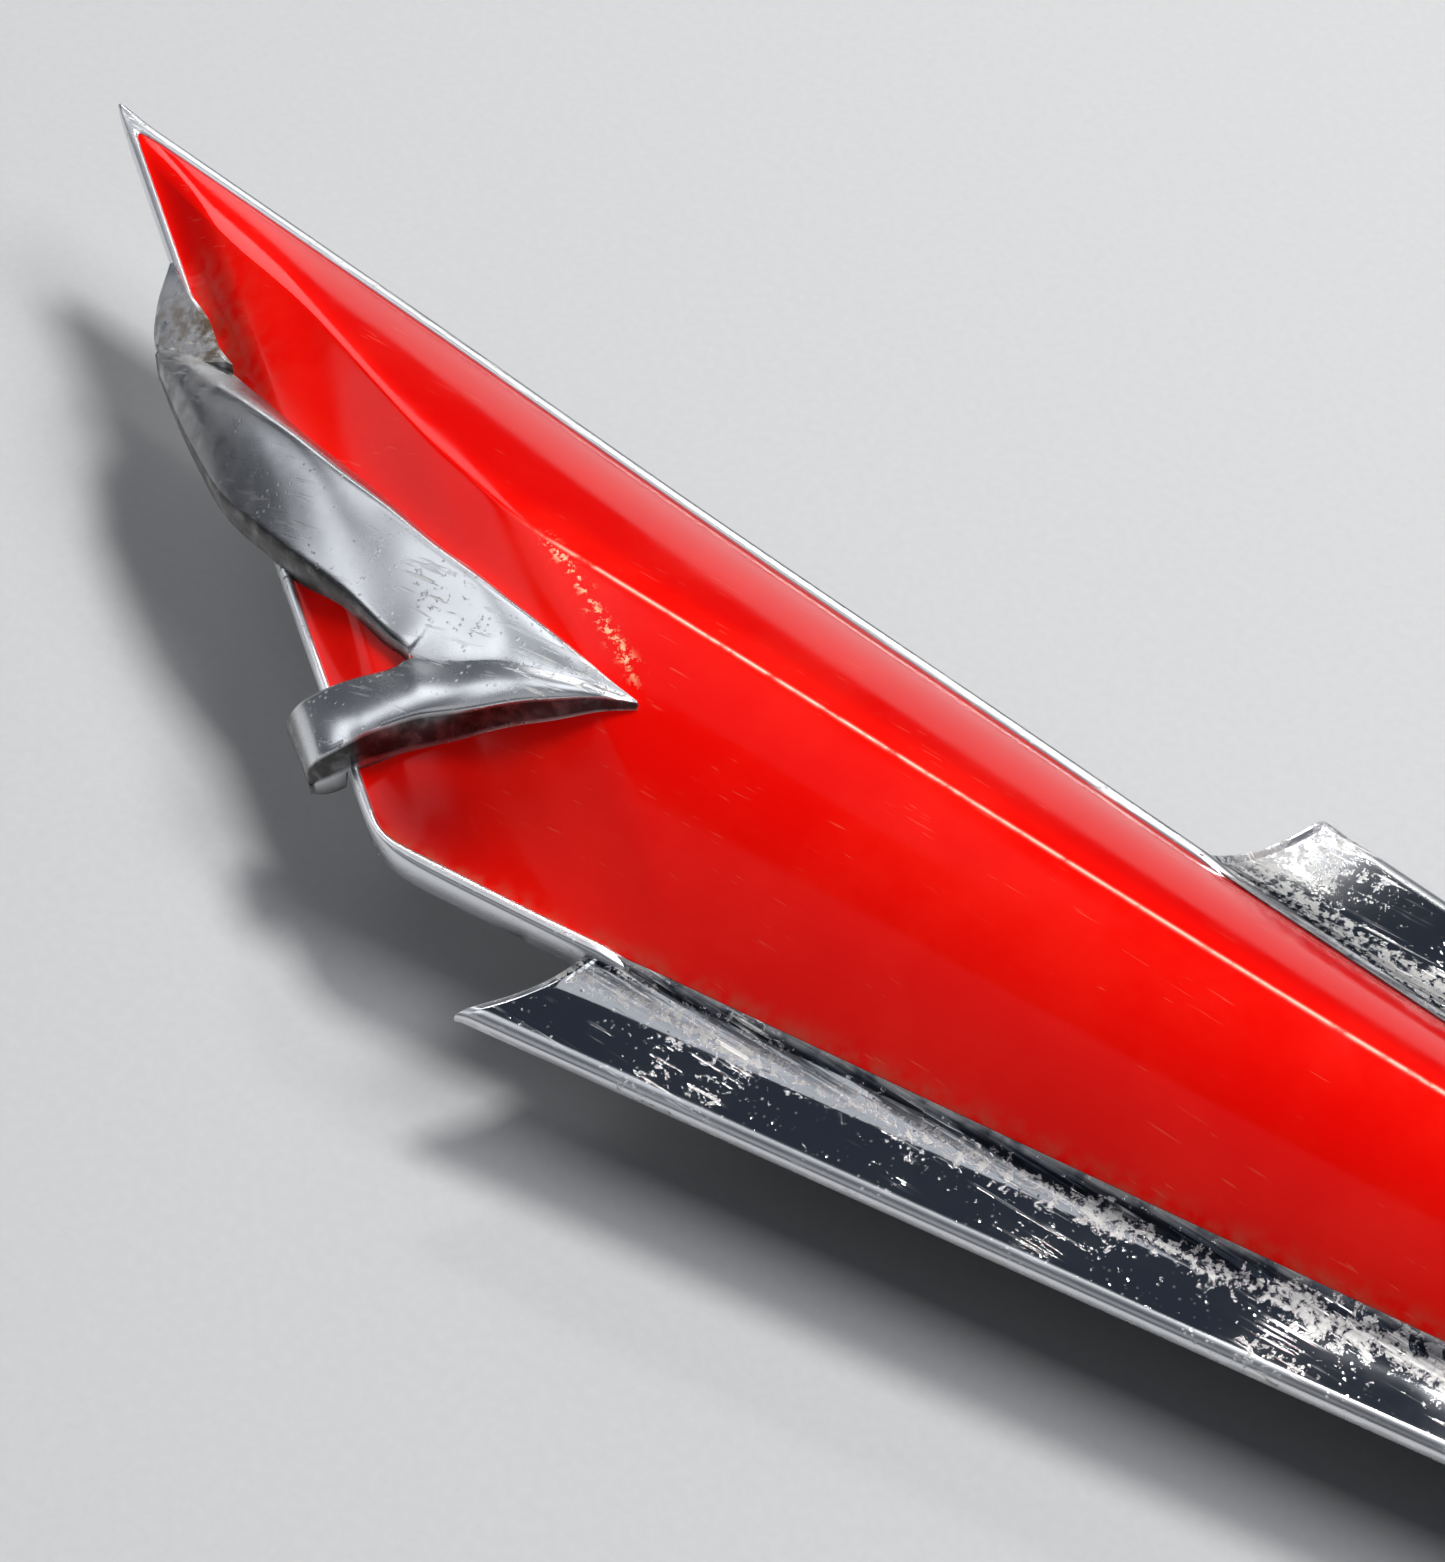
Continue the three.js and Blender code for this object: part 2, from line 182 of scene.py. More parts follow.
def crown(u, v):
    """Height of the insert's face, rounded down to the rim at the tail."""
    grown = np.sin(np.pi / 2 * np.clip(np.asarray(u, float) / 0.032, 0, 1))
    return lerp(rim_height(u, v), dome(u, v), grown)


def across(x, y):
    """(u, v) of plan points, held at the tail beyond the rake."""
    x, y = np.asarray(x, float), np.asarray(y, float)
    low, high = np.zeros(x.shape), np.ones(x.shape)
    for _ in range(34):
        mid = (low + high) / 2
        n, f = EDGE.near(mid), EDGE.far(mid)
        off = (f[..., 0] - n[..., 0]) * (y - n[..., 1]) - (f[..., 1] - n[..., 1]) * (x - n[..., 0])
        low, high = np.where(off < 0, mid, low), np.where(off < 0, high, mid)
    n, f = EDGE.near(low), EDGE.far(low)
    span = f - n
    v = ((x - n[..., 0]) * span[..., 0] + (y - n[..., 1]) * span[..., 1]) / (span ** 2).sum(-1)
    return low, np.clip(v, 0, 1)


def past_tail(x, y):
    """How far plan points lie outside the raked tail edge."""
    return -(x * RAKE_IN[0] + (y - TAIL_TIP[1]) * RAKE_IN[1])


def rounding(distance, radius):
    """Drop of a rounded edge at a distance from it."""
    inside = np.clip(1 - distance / radius, 0, 1)
    return radius * (1 - np.sqrt(1 - inside ** 2))


# ---------------------------------------------------------------- mesh making
def to_frame(points):
    points = np.asarray(points, float).reshape(-1, 3).copy()
    points[:, 0] += TAIL_X
    return points * MM


def make_piece(name, points, faces, sharp=35.0, masks=None):
    mesh = bpy.data.meshes.new(name)
    mesh.from_pydata(to_frame(points).tolist(), [], [list(map(int, f)) for f in faces])
    for key, values in (masks or {}).items():
        layer = mesh.attributes.new(key, "FLOAT", "POINT")
        layer.data.foreach_set("value", np.asarray(values, np.float32).ravel())
    bm = bmesh.new()
    bm.from_mesh(mesh)
    bmesh.ops.remove_doubles(bm, verts=bm.verts, dist=0.002 * MM)
    bmesh.ops.recalc_face_normals(bm, faces=bm.faces)
    bm.to_mesh(mesh)
    bm.free()
    mesh.shade_smooth()
    mesh.set_sharp_from_angle(angle=math.radians(sharp))
    piece = bpy.data.objects.new(name, mesh)
    bpy.context.scene.collection.objects.link(piece)
    return piece


def join(name, pieces):
    for o in bpy.context.selected_objects:
        o.select_set(False)
    for o in pieces:
        o.select_set(True)
    bpy.context.view_layer.objects.active = pieces[0]
    bpy.ops.object.join()
    pieces[0].name = name
    pieces[0].data.name = name
    return pieces[0]


def grid_faces(rows, cols, start=0, wrap=False):
    faces = []
    for i in range(rows - 1):
        for j in range(cols if wrap else cols - 1):
            k = (j + 1) % cols
            a, b = start + i * cols, start + (i + 1) * cols
            faces.append((a + j, b + j, b + k, a + k))
    return faces


def swept(name, sections, closed=False, **options):
    """A body swept through closed sections of equal length, capped at its ends or closed."""
    sections = np.asarray(sections, float)
    rows, cols = sections.shape[:2]
    points = sections.reshape(-1, 3)
    if closed:
        faces = grid_faces(rows, cols, wrap=True)
        last = (rows - 1) * cols
        for j in range(cols):
            k = (j + 1) % cols
            faces.append((last + j, j, k, last + k))
    else:
        faces = grid_faces(rows, cols, wrap=True)
        faces.append(tuple(range(cols))[::-1])
        faces.append(tuple((rows - 1) * cols + j for j in range(cols)))
    return make_piece(name, points, faces, **options)


def slab(name, top, bottom, **options):
    """A closed body between two grids of points of the same size."""
    rows, cols = top.shape[:2]
    n = rows * cols
    faces = grid_faces(rows, cols)
    faces += [tuple(n + k for k in f)[::-1] for f in grid_faces(rows, cols)]
    border = [(0, j) for j in range(cols)] + [(i, cols - 1) for i in range(1, rows)]
    border += [(rows - 1, j) for j in range(cols - 2, -1, -1)]
    border += [(i, 0) for i in range(rows - 2, 0, -1)]
    ring = [i * cols + j for i, j in border]
    for a, b in zip(ring, ring[1:] + ring[:1]):
        faces.append((a, b, n + b, n + a))
    points = np.concatenate([top.reshape(-1, 3), bottom.reshape(-1, 3)])
    return make_piece(name, points, faces, **options)


# ---------------------------------------------------------------- materials
class Nodes:
    """Short names for building one material's node tree."""

    def __init__(self, name):
        self.material = bpy.data.materials.new(name)
        self.material.use_nodes = True
        self.tree = self.material.node_tree
        self.tree.nodes.clear()
        self.shader = self.add("ShaderNodeBsdfPrincipled")
        out = self.add("ShaderNodeOutputMaterial")
        self.link(self.shader.outputs[0], out.inputs[0])
        self.place = self.add("ShaderNodeTexCoord").outputs["Object"]

    def add(self, kind, **settings):
        node = self.tree.nodes.new(kind)
        for key, value in settings.items():
            setattr(node, key, value)
        return node

    def link(self, a, b):
        self.tree.links.new(a, b)

    def put(self, value, socket):
        if hasattr(value, "links"):
            self.link(value, socket)
        else:
            socket.default_value = value

    def stretched(self, scale, turn=0.0):
        node = self.add("ShaderNodeMapping")
        self.link(self.place, node.inputs["Vector"])
        node.inputs["Scale"].default_value = scale
        node.inputs["Rotation"].default_value = (0, 0, turn)
        return node.outputs[0]

    def noise(self, scale, detail=4.0, rough=0.55, where=None):
        node = self.add("ShaderNodeTexNoise")
        self.link(where or self.place, node.inputs["Vector"])
        node.inputs["Scale"].default_value = scale
        node.inputs["Detail"].default_value = detail
        node.inputs["Roughness"].default_value = rough
        return node.outputs["Fac"]

    def cells(self, scale, where=None):
        node = self.add("ShaderNodeTexVoronoi")
        self.link(where or self.place, node.inputs["Vector"])
        node.inputs["Scale"].default_value = scale
        return node.outputs["Distance"]

    def ramp(self, value, low, high, a=0.0, b=1.0):
        node = self.add("ShaderNodeMapRange", interpolation_type="SMOOTHSTEP")
        self.link(value, node.inputs["Value"])
        for key, number in (("From Min", low), ("From Max", high), ("To Min", a), ("To Max", b)):
            node.inputs[key].default_value = number
        return node.outputs[0]

    def math(self, operation, a, b=0.0):
        node = self.add("ShaderNodeMath", operation=operation, use_clamp=operation != "SUBTRACT")
        self.put(a, node.inputs[0])
        self.put(b, node.inputs[1])
        return node.outputs[0]

    def blend(self, factor, a, b):
        node = self.add("ShaderNodeMix", data_type="RGBA")
        self.put(factor, node.inputs["Factor"])
        for value, socket in ((a, node.inputs[6]), (b, node.inputs[7])):
            if hasattr(value, "links"):
                self.link(value, socket)
            else:
                socket.default_value = (*value, 1)
        return node.outputs[2]

    def mask(self, name):
        return self.add("ShaderNodeAttribute", attribute_name=name).outputs["Fac"]

    def bump(self, height, distance, strength=1.0, under=None):
        node = self.add("ShaderNodeBump")
        node.inputs["Distance"].default_value = distance * MM
        self.put(strength, node.inputs["Strength"])
        self.link(height, node.inputs["Height"])
        if under is not None:
            self.link(under, node.inputs["Normal"])
        return node.outputs[0]

    def finish(self, color=None, rough=None, normal=None, **fixed):
        for value, key in ((color, "Base Color"), (rough, "Roughness"), (normal, "Normal")):
            if value is not None:
                self.put(value, self.shader.inputs[key])
        for key, value in fixed.items():
            self.shader.inputs[key.replace("_", " ")].default_value = value
        return self.material


def scratches(n, turn, density, length=(40, 1500, 400), patchy=110):
    """Fine lines that lie mostly along one direction."""
    where = n.stretched(length, turn)
    lines = n.ramp(n.noise(1.0, 2.0, 0.5, where), 0.66 - density, 0.70 - density)
    return n.math("MULTIPLY", lines, n.ramp(n.noise(patchy, 3.0), 0.46, 0.58))


def worn_chrome(name, wear=1.0, satin=0.0):
    n = Nodes(name)
    dirt_and_shade = n.mask("dirt_and_shade")
    patch = n.noise(70, 6.0, 0.62)
    worn = n.math("ADD", n.math("MULTIPLY", n.mask("wear"), 0.8 * wear),
                  n.ramp(patch, 0.40, 0.72, -0.25, 0.45 * wear))
    speck = n.noise(1100, 9.0, 0.74)
    limit = n.math("SUBTRACT", 0.66, n.math("MULTIPLY", worn, 0.20))
    eaten = n.ramp(n.math("SUBTRACT", speck, limit), -0.012, 0.035)
    pits = n.ramp(n.cells(1300), 0.0, 0.30, 1.0, 0.0)
    pits = n.math("MULTIPLY", pits, n.ramp(n.noise(240, 5.0), 0.53 - 0.05 * wear, 0.60))
    marks = scratches(n, 0.10, 0.03)
    for turn, density in ((0.9, 0.015), (-1.1, 0.02), (1.9, 0.01)):
        marks = n.math("MAXIMUM", marks, scratches(n, turn, density, (90, 1700, 400), 70))
    marks = n.math("MULTIPLY", marks, n.ramp(worn, 0.05, 0.5, 0.25, 1.0))
    marks = n.math("MAXIMUM", marks, n.math("MULTIPLY", pits, 0.9))
    # Brown grime, and painted shade in the crevice by the rim, beside the rim on the flanges and
    # towards the trim's rear.
    grime_and_shade = n.math("MULTIPLY", dirt_and_shade, n.ramp(n.noise(420, 6.0), 0.3, 0.6))
    color = n.blend(n.noise(25, 2.0), (0.74, 0.77, 0.82), (0.82, 0.82, 0.83))
    tone = n.blend(n.noise(2600, 3.0), (0.30, 0.30, 0.30), (0.70, 0.69, 0.66))
    color = n.blend(eaten, color, tone)
    color = n.blend(marks, color, (0.88, 0.87, 0.85))
    color = n.blend(grime_and_shade, color, (0.11, 0.07, 0.035))
    # Painted shade: a dark streaky band on each flange beside the rim, standing in for a dark
    # reflection.
    grain = n.noise(1.0, 6.0, 0.65, n.stretched((70, 1500, 400), 0.10))
    painted_dark_band = n.math("MULTIPLY", n.mask("painted_dark_band"), n.ramp(grain, 0.42, 0.56))
    color = n.blend(painted_dark_band, color, (0.10, 0.10, 0.11))
    # Painted shade: near-black on the trim's lower bevel, inner edges and rear, standing in for
    # dark surroundings reflected there.
    painted_shade = n.math("MULTIPLY", n.mask("painted_shade"), n.ramp(n.noise(500, 4.0), 0.2, 0.6, 0.8, 1.0))
    color = n.blend(painted_shade, color, (0.022, 0.019, 0.017))
    rough = n.math("ADD", n.ramp(patch, 0.35, 0.7, 0.035 + satin, 0.09 + satin),
                   n.math("MULTIPLY", eaten, 0.40))
    rough = n.math("ADD", rough, n.math("MULTIPLY", n.mask("satin"), 0.26))
    rough = n.math("ADD", rough, n.math("MULTIPLY", marks, 0.22))
    rough = n.math("ADD", rough, n.math("MULTIPLY", grime_and_shade, 0.5))
    metal = n.math("MAXIMUM", n.math("MULTIPLY", eaten, 0.35), n.math("MULTIPLY", marks, 0.4))
    metal = n.math("MAXIMUM", metal, n.math("MULTIPLY", grime_and_shade, 0.8))
    metal = n.math("SUBTRACT", 1.0, n.math("MAXIMUM", metal, satin * 0.2))
    n.link(metal, n.shader.inputs["Metallic"])
    normal = n.bump(n.noise(14, 2.0), 0.25, 0.5)
    normal = n.bump(eaten, 0.03, 0.7, normal)
    normal = n.bump(marks, -0.03, 0.7, normal)
    return n.finish(color, rough, normal)


def red_acrylic():
    n = Nodes("red_acrylic_aged")
    haze = n.noise(55, 6.0, 0.6)
    mottle = n.noise(240, 7.0, 0.65)
    dust_and_shade = n.math("MULTIPLY", n.mask("dirt_and_shade"), n.ramp(n.noise(500, 7.0), 0.35, 0.65))
    fine = scratches(n, -0.2, -0.035, (140, 3200, 400))
    cross = scratches(n, 0.9, -0.035, (200, 3000, 400))
    crease = n.math("MULTIPLY", n.mask("crease"), n.ramp(n.noise(420, 6.0), 0.30, 0.55))
    flecks = n.math("MULTIPLY", n.mask("flecks"), n.ramp(n.noise(900, 7.0, 0.7), 0.53, 0.58))
    marks = n.math("MULTIPLY", n.math("MAXIMUM", fine, cross), 0.22)
    color = n.blend(n.ramp(haze, 0.38, 0.68), (0.84, 0.003, 0.001), (0.90, 0.009, 0.004))
    color = n.blend(n.math("MULTIPLY", n.mask("shade"), 0.45), color, (0.34, 0.001, 0.001))
    # Painted shade: the near face darkened low down, round the heel of the insert.
    color = n.blend(n.math("MULTIPLY", n.mask("heel"), 0.8), color, (0.24, 0.001, 0.001))
    color = n.blend(n.math("MULTIPLY", marks, 0.4), color, (0.9, 0.5, 0.3))
    # A pale line along the crease: partly wear on the edge, partly a painted highlight.
    color = n.blend(n.math("MULTIPLY", crease, 0.75), color, (1.0, 0.76, 0.56))
    # Brownish darkening near the tail rim, and painted shade along the near edge of the insert.
    color = n.blend(n.math("MULTIPLY", dust_and_shade, 0.7), color, (0.34, 0.14, 0.08))
    # Golden flecks where highlight lines run: partly crazing in the acrylic, partly painted
    # highlight.
    color = n.blend(flecks, color, n.blend(n.noise(700), (1.0, 0.36, 0.05), (0.9, 0.75, 0.6)))
    rough = n.ramp(mottle, 0.35, 0.7, 0.08, 0.14)
    rough = n.math("ADD", rough, n.math("MULTIPLY", n.ramp(haze, 0.45, 0.7), 0.06))
    rough = n.math("ADD", rough, n.math("MULTIPLY", n.math("MAXIMUM", marks, dust_and_shade), 0.3))
    normal = n.bump(marks, -0.012, 0.6)
    normal = n.bump(n.noise(30, 2.0), 0.03, 0.25, normal)
    return n.finish(color, rough, normal, IOR=1.49, Specular_IOR_Level=0.16)


def dull_steel():
    n = Nodes("zinc_plated_steel")
    cloud = n.noise(700, 6.0, 0.6)
    rust = n.ramp(n.noise(260, 8.0, 0.7), 0.56, 0.68)
    color = n.blend(cloud, (0.42, 0.42, 0.40), (0.62, 0.61, 0.56))
    color = n.blend(n.math("MULTIPLY", rust, 0.6), color, (0.16, 0.07, 0.03))
    rough = n.ramp(cloud, 0.3, 0.7, 0.32, 0.55)
    return n.finish(color, rough, n.bump(cloud, 0.02, 0.5), Metallic=0.9)


def bright_foil():
    n = Nodes("pressed_foil")
    grain = n.cells(500)
    color = n.blend(n.noise(200), (0.60, 0.62, 0.64), (0.78, 0.79, 0.80))
    rough = n.ramp(n.noise(300, 5.0), 0.3, 0.7, 0.25, 0.42)
    return n.finish(color, rough, n.bump(grain, 0.08, 0.5), Metallic=1.0)


def aged_rubber():
    n = Nodes("aged_rubber")
    bloom = n.noise(120, 7.0, 0.65)
    color = n.blend(n.ramp(bloom, 0.45, 0.7), (0.018, 0.018, 0.02), (0.07, 0.068, 0.062))
    rough = n.ramp(bloom, 0.3, 0.7, 0.62, 0.85)
    return n.finish(color, rough, n.bump(n.noise(1500, 4.0), 0.03, 0.5))


CHROME = worn_chrome("worn_chrome")
TRIM_CHROME = worn_chrome("satin_chrome", wear=0.6, satin=0.21)
RED = red_acrylic()
STEEL = dull_steel()
FOIL = bright_foil()
RUBBER = aged_rubber()


def dress(piece, material, slot, *nodes):
    piece.data.materials.clear()
    piece.data.materials.append(material)
    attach(piece, "root")
    if nodes:
        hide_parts(*nodes)


# ---------------------------------------------------------------- red insert
def node_place(node):
    low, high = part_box(node)
    middle = (low + high) / 2 / MM
    return (middle.x - TAIL_X, middle.y), low.z / MM, high.z / MM, (high.x - low.x) / 2 / MM


def ease_ends(count, low=2.2):
    """Steps from 0 to 1, closer together at both ends."""
    t = np.linspace(-1, 1, count)
    s = np.sign(t) * (1 - (1 - np.abs(t)) ** low)
    return (s + 1) / 2


def build_post(nut, radius):
    """A plain round post from just under a nut up into the body above it."""
    (x, y), low, _, _ = node_place(nut)
    u, v = across(x, y)
    high = float(crown(u, v)) - 1.2
    angles = np.linspace(0, 2 * np.pi, 24, endpoint=False)
    rows = [[(x + r * math.cos(a), y + r * math.sin(a), z) for a in angles]
            for r, z in ((radius - 0.3, low - 1.2), (radius, low - 0.9), (radius, high))]
    return swept(f"post_{nut}", rows)


def build_insert():
    us = np.concatenate([np.linspace(0, 0.2, 90)[:-1], np.linspace(0.2, 0.8, 110)[:-1],
                         1 - 0.2 * (1 - np.linspace(0, 1, 60)) ** 1.7])
    half = ease_ends(41)
    lanes = np.concatenate([half / 2, 0.5 + half[1:] / 2])
    u = us[:, None] * np.ones(len(lanes))
    mid = crease_across(u)
    v = np.where(lanes < 0.5, 2 * lanes * mid, mid + (2 * lanes - 1) * (1 - mid))
    near, far = EDGE.near(u), EDGE.far(u)
    plan = near + (far - near) * v[..., None]
    for corner, inward in ((near[0, 0], (0.5, 0.25)), (far[0, 0], (0.3, -0.15))):
        reach = np.exp(-(np.linalg.norm(plan - corner, axis=-1) / 2.0) ** 2)
        plan = plan + np.array(inward) * reach[..., None]
    z = crown(u, v)
    seat = rim_height(u, v) - 2
    top = np.concatenate([plan, z[..., None]], -1)
    bottom = np.concatenate([plan, np.maximum(seat, z - 3)[..., None]], -1)
    x, y = top[..., 0], top[..., 1]
    # A pale line painted along the crease, partly wear and partly painted highlight.
    crease = np.exp(-((v - mid) * np.hypot(*(far - near).transpose(2, 0, 1)) / 0.32) ** 2)
    crease = crease * smoothstep(85, 100, x)
    # Darkening along the near edge, which is painted shade, and near the tail rim.
    gutter = np.exp(-(v * np.hypot(*(far - near).transpose(2, 0, 1)) / 1.4) ** 2)
    tail = np.exp(-(past_tail(x, y) / 4.5) ** 2) * smoothstep(24, 34, x)
    # Painted shade low on the near face, round the heel.
    heel = np.exp(-(((x - 97) / 10) ** 2 + ((y + 21) / 8) ** 2))
    dirt_and_shade = np.clip(0.5 * gutter + 0.6 * tail * smoothstep(66, 40, x), 0, 1)
    # Golden flecks on the lines where highlights run: partly crazing, partly painted highlight.
    flecks = np.zeros_like(x)
    for (ax, ay), (bx, by) in (((91.5, 4.6), (99.0, 1.5)), ((99.5, 0.9), (108.5, -3.2))):
        t = ((x - ax) * (bx - ax) + (y - ay) * (by - ay)) / ((bx - ax) ** 2 + (by - ay) ** 2)
        t = np.clip(t, 0, 1)
        off = np.hypot(x - lerp(ax, bx, t), y - lerp(ay, by, t))
        flecks = np.maximum(flecks, np.exp(-(off / 0.6) ** 2))
    shade = smoothstep(0, 0.12, v - mid) * smoothstep(0.03, 0.12, u)
    masks = {"crease": crease, "dirt_and_shade": dirt_and_shade, "heel": heel, "flecks": flecks, "shade": shade}
    masks = {k: np.concatenate([m.ravel(), m.ravel()]) for k, m in masks.items()}
    body = slab("insert_body", top, bottom, sharp=50, masks=masks)
    posts = [build_post(f"push_nut_{which}", 1.5) for which in ("rear", "middle", "front")]
    dress(join("red_acrylic_insert", [body, *posts]), RED, "red_acrylic", "red_insert")


# ---------------------------------------------------------------- chrome casting
def relax(loop, middle, reach, rounds):
    """Rounds a corner of a closed loop by averaging its neighbours."""
    index = np.arange(middle - reach, middle + reach + 1) % len(loop)
    for _ in range(rounds):
        local = loop[index]
        local[1:-1] = (local[:-2] + local[1:-1] * 2 + local[2:]) / 4
        loop[index] = local


def rim_loops(profile):
    """Closed loops round the insert, one for each (margin, height above the rim line)."""
    side = 1 - (1 - np.linspace(0, 1, 300)) ** 1.35
    tail = np.linspace(0, 1, 150)[1:-1]
    loops = []
    for margin, rise in profile:
        line = Outline(margin)
        far, near = line.far(side), line.near(side[::-1])
        heel, tip = line.near(0.0), line.far(0.0)
        rear = heel + (tip - heel) * tail[:, None]
        plan = np.concatenate([far, near, rear])
        height = np.concatenate([
            rim_height(side, 1), rim_height(side[::-1], 0), rim_height(0, tail)])
        tip_rise = 0.9 * np.exp(-(np.hypot(plan[:, 0], plan[:, 1] - TAIL_TIP[1]) / 3.0) ** 2)
        loop = np.concatenate([plan, (height + rise + tip_rise)[:, None]], 1)
        notch = np.where(plan[:, 1] > 0, FAR_FLANGE["notch"], NEAR_FLANGE["notch"])
        merged = smoothstep(0, 6, plan[:, 0] - notch) * smoothstep(-1.5, -0.5, rise)
        loop[:, 2] -= 0.8 * merged
        relax(loop, len(far) + len(near) - 1, 20, int(14 * max(0, margin) + 6))
        relax(loop, 0, 14, 8 if margin < 0.6 else 4)
        loops.append(loop)
    return np.stack(loops, 1)


def build_rim():
    profile = [
        (-3.4, -2.5), (-3.4, -2.32), (0.25, -2.32), (0.25, -0.6), (-0.2, -0.1), (-0.2, 0.1),
        (-0.12, 0.26), (0.05, 0.38), (0.3, 0.42), (0.55, 0.425), (0.8, 0.41), (1.05, 0.37),
        (1.23, 0.22), (1.34, 0.0), (1.4, -0.3), (1.38, -1.2), (1.05, -3.4), (0.9, -3.75),
        (0.6, -3.95), (-3.4, -3.9),
    ]
    loops = rim_loops(profile)
    loops[..., 2] = np.maximum(loops[..., 2], BASE)
    loops[:, 1, 2] = np.maximum(loops[:, 1, 2], BASE + 0.4)
    x, z = loops[..., 0], loops[..., 2]
    on_far = loops[..., 1] > 15
    wear = np.where(on_far, -0.3, np.where(x < 118, 0.4, 0.15)) * np.ones_like(z)
    # Darker in the crevice between the rim and the insert: painted shade and grime.
    crevice = np.array([0, 0, 1, 1, 0.9, 0.3] + [0] * (len(profile) - 6))
    dirt_and_shade = np.ones_like(z) * crevice
    satin = np.ones_like(z) * np.array([0] * 5 + [1] * 11 + [0] * (len(profile) - 16))
    masks = {"wear": wear, "dirt_and_shade": dirt_and_shade, "satin": satin}
    return swept("rim", loops, closed=True, sharp=40, masks=masks)


def flange_edge(flange, x):
    closing = np.clip((x - CLOSING_X) / (NOSE_X - CLOSING_X), 0, 1)
    tip_x, tip_y = flange["tip"]
    return (tip_y + flange["slope"] * (x - tip_x)) * np.sqrt(1.004 - closing ** 2)


def flange_section(w, inner):
    """Height across a flange: a scotia from the rim (0) out to its rolled edge (1)."""
    fall = (1 - w) ** 4
    hollow = 0.12 * np.sin(np.pi * np.clip(w / 0.95, 0, 1)) ** 2
    roll = 0.9 * (1 - np.sqrt(1 - np.clip((w - 0.88) / 0.12, 0, 1) ** 2))
    return lerp(FLANGE_EDGE, inner + 0.35, fall) - hollow - roll


def build_flange(name, flange, line, outward, lip):
    stations = np.concatenate([0.008 * np.linspace(0, 1, 14)[:-1] ** 1.6,
                               np.linspace(0.008, 0.06, 16)[:-1], np.linspace(0.06, 1, 120)])
    edge_lanes = lerp(0.86, 1, 1 - (1 - np.linspace(0, 1, 14)) ** 1.6)
    ws = np.concatenate([np.linspace(0, 0.86, 34)[:-1], edge_lanes])
    end_x = CLOSING_X + 5
    s, w = np.meshgrid(stations, ws, indexing="ij")
    xi = lerp(flange["notch"], end_x, s)
    yi = line[0] + line[1] * xi + outward * (0.35 - 0.2 * smoothstep(0, 0.04, s))
    xo = lerp(flange["tip"][0], end_x, s)
    yo = flange_edge(flange, xo)
    bow = 0.7 * np.sin(np.pi * w) * np.exp(-s * 60)
    x = lerp(xi, xo, w) + bow
    y = lerp(yi, yo, w)
    behind = (s * (end_x - flange["notch"]))
    along = (x - line[2]) / (INSERT_FRONT - line[2])
    inner = (rim_near if outward < 0 else rim_far)(along) - 0.2
    z = flange_section(w, inner) + 0.6 * lip * w ** 2
    chamfer = 0.29 if lip == 0 else 0.0
    edge_drop = chamfer * np.maximum(0, 1.4 - behind) + rounding(behind, 0.3)
    bead = lip * (1 - smoothstep(0.86, 1.0, w))
    z = z - edge_drop + bead * (0.4 * np.exp(-((behind - 0.4) / 0.4) ** 2)
                                - 0.3 * np.exp(-((behind - 1.3) / 0.35) ** 2))
    top = np.stack([x, y, z], -1)
    k = len(ws)
    out = top[:, -1:, :]
    step = np.array([0, -outward, 0])
    side = [out + step * a + np.array([0, 0, -b]) for a, b in
            ((0.0, 0.25), (0.02, 0.7), (0.15, 1.4), (0.5, 1.9))]
    for row in side:
        row[..., 2] = np.maximum(row[..., 2], BASE)
    under = top[:, ::-6, :].copy()
    under[..., 2] = BASE
    under[:, 0, 1] -= outward * 0.9
    sections = np.concatenate([top, *side, under], 1)
    worn = np.exp(-((w - 0.26) / 0.16) ** 2) * (1.0 + 0.2 * lip) + 0.22
    worn = np.maximum(worn, (0.8 + 0.8 * lip) * np.exp(-(behind / 11.0) ** 2) * (1 - 0.45 * w))
    worn = np.maximum(worn, 0.35 * smoothstep(0.93, 1, w))
    # Darker right beside the rim: painted shade and grime.
    dirt_and_shade = 0.5 * np.exp(-(w / 0.05) ** 2)
    rest = sections.shape[1] - k
    worn = np.concatenate([worn, np.full((len(stations), rest), 0.3)], 1)
    dirt_and_shade = np.concatenate([dirt_and_shade, np.full((len(stations), rest), 0.25)], 1)
    satin = np.maximum(smoothstep(0.87, 0.92, w), np.exp(-(behind / (0.8 + 7 * lip)) ** 2))
    satin = np.concatenate([satin, np.full((len(stations), rest), 0.6)], 1)
    # Painted shade: a dark streaky band beside the rim.
    painted_dark_band = np.exp(-((w - 0.13) / 0.13) ** 2)
    painted_dark_band = np.concatenate([painted_dark_band, np.zeros((len(stations), rest))], 1)
    return swept(name, sections, sharp=42, masks={
        "wear": worn, "dirt_and_shade": dirt_and_shade, "satin": satin, "painted_dark_band": painted_dark_band})


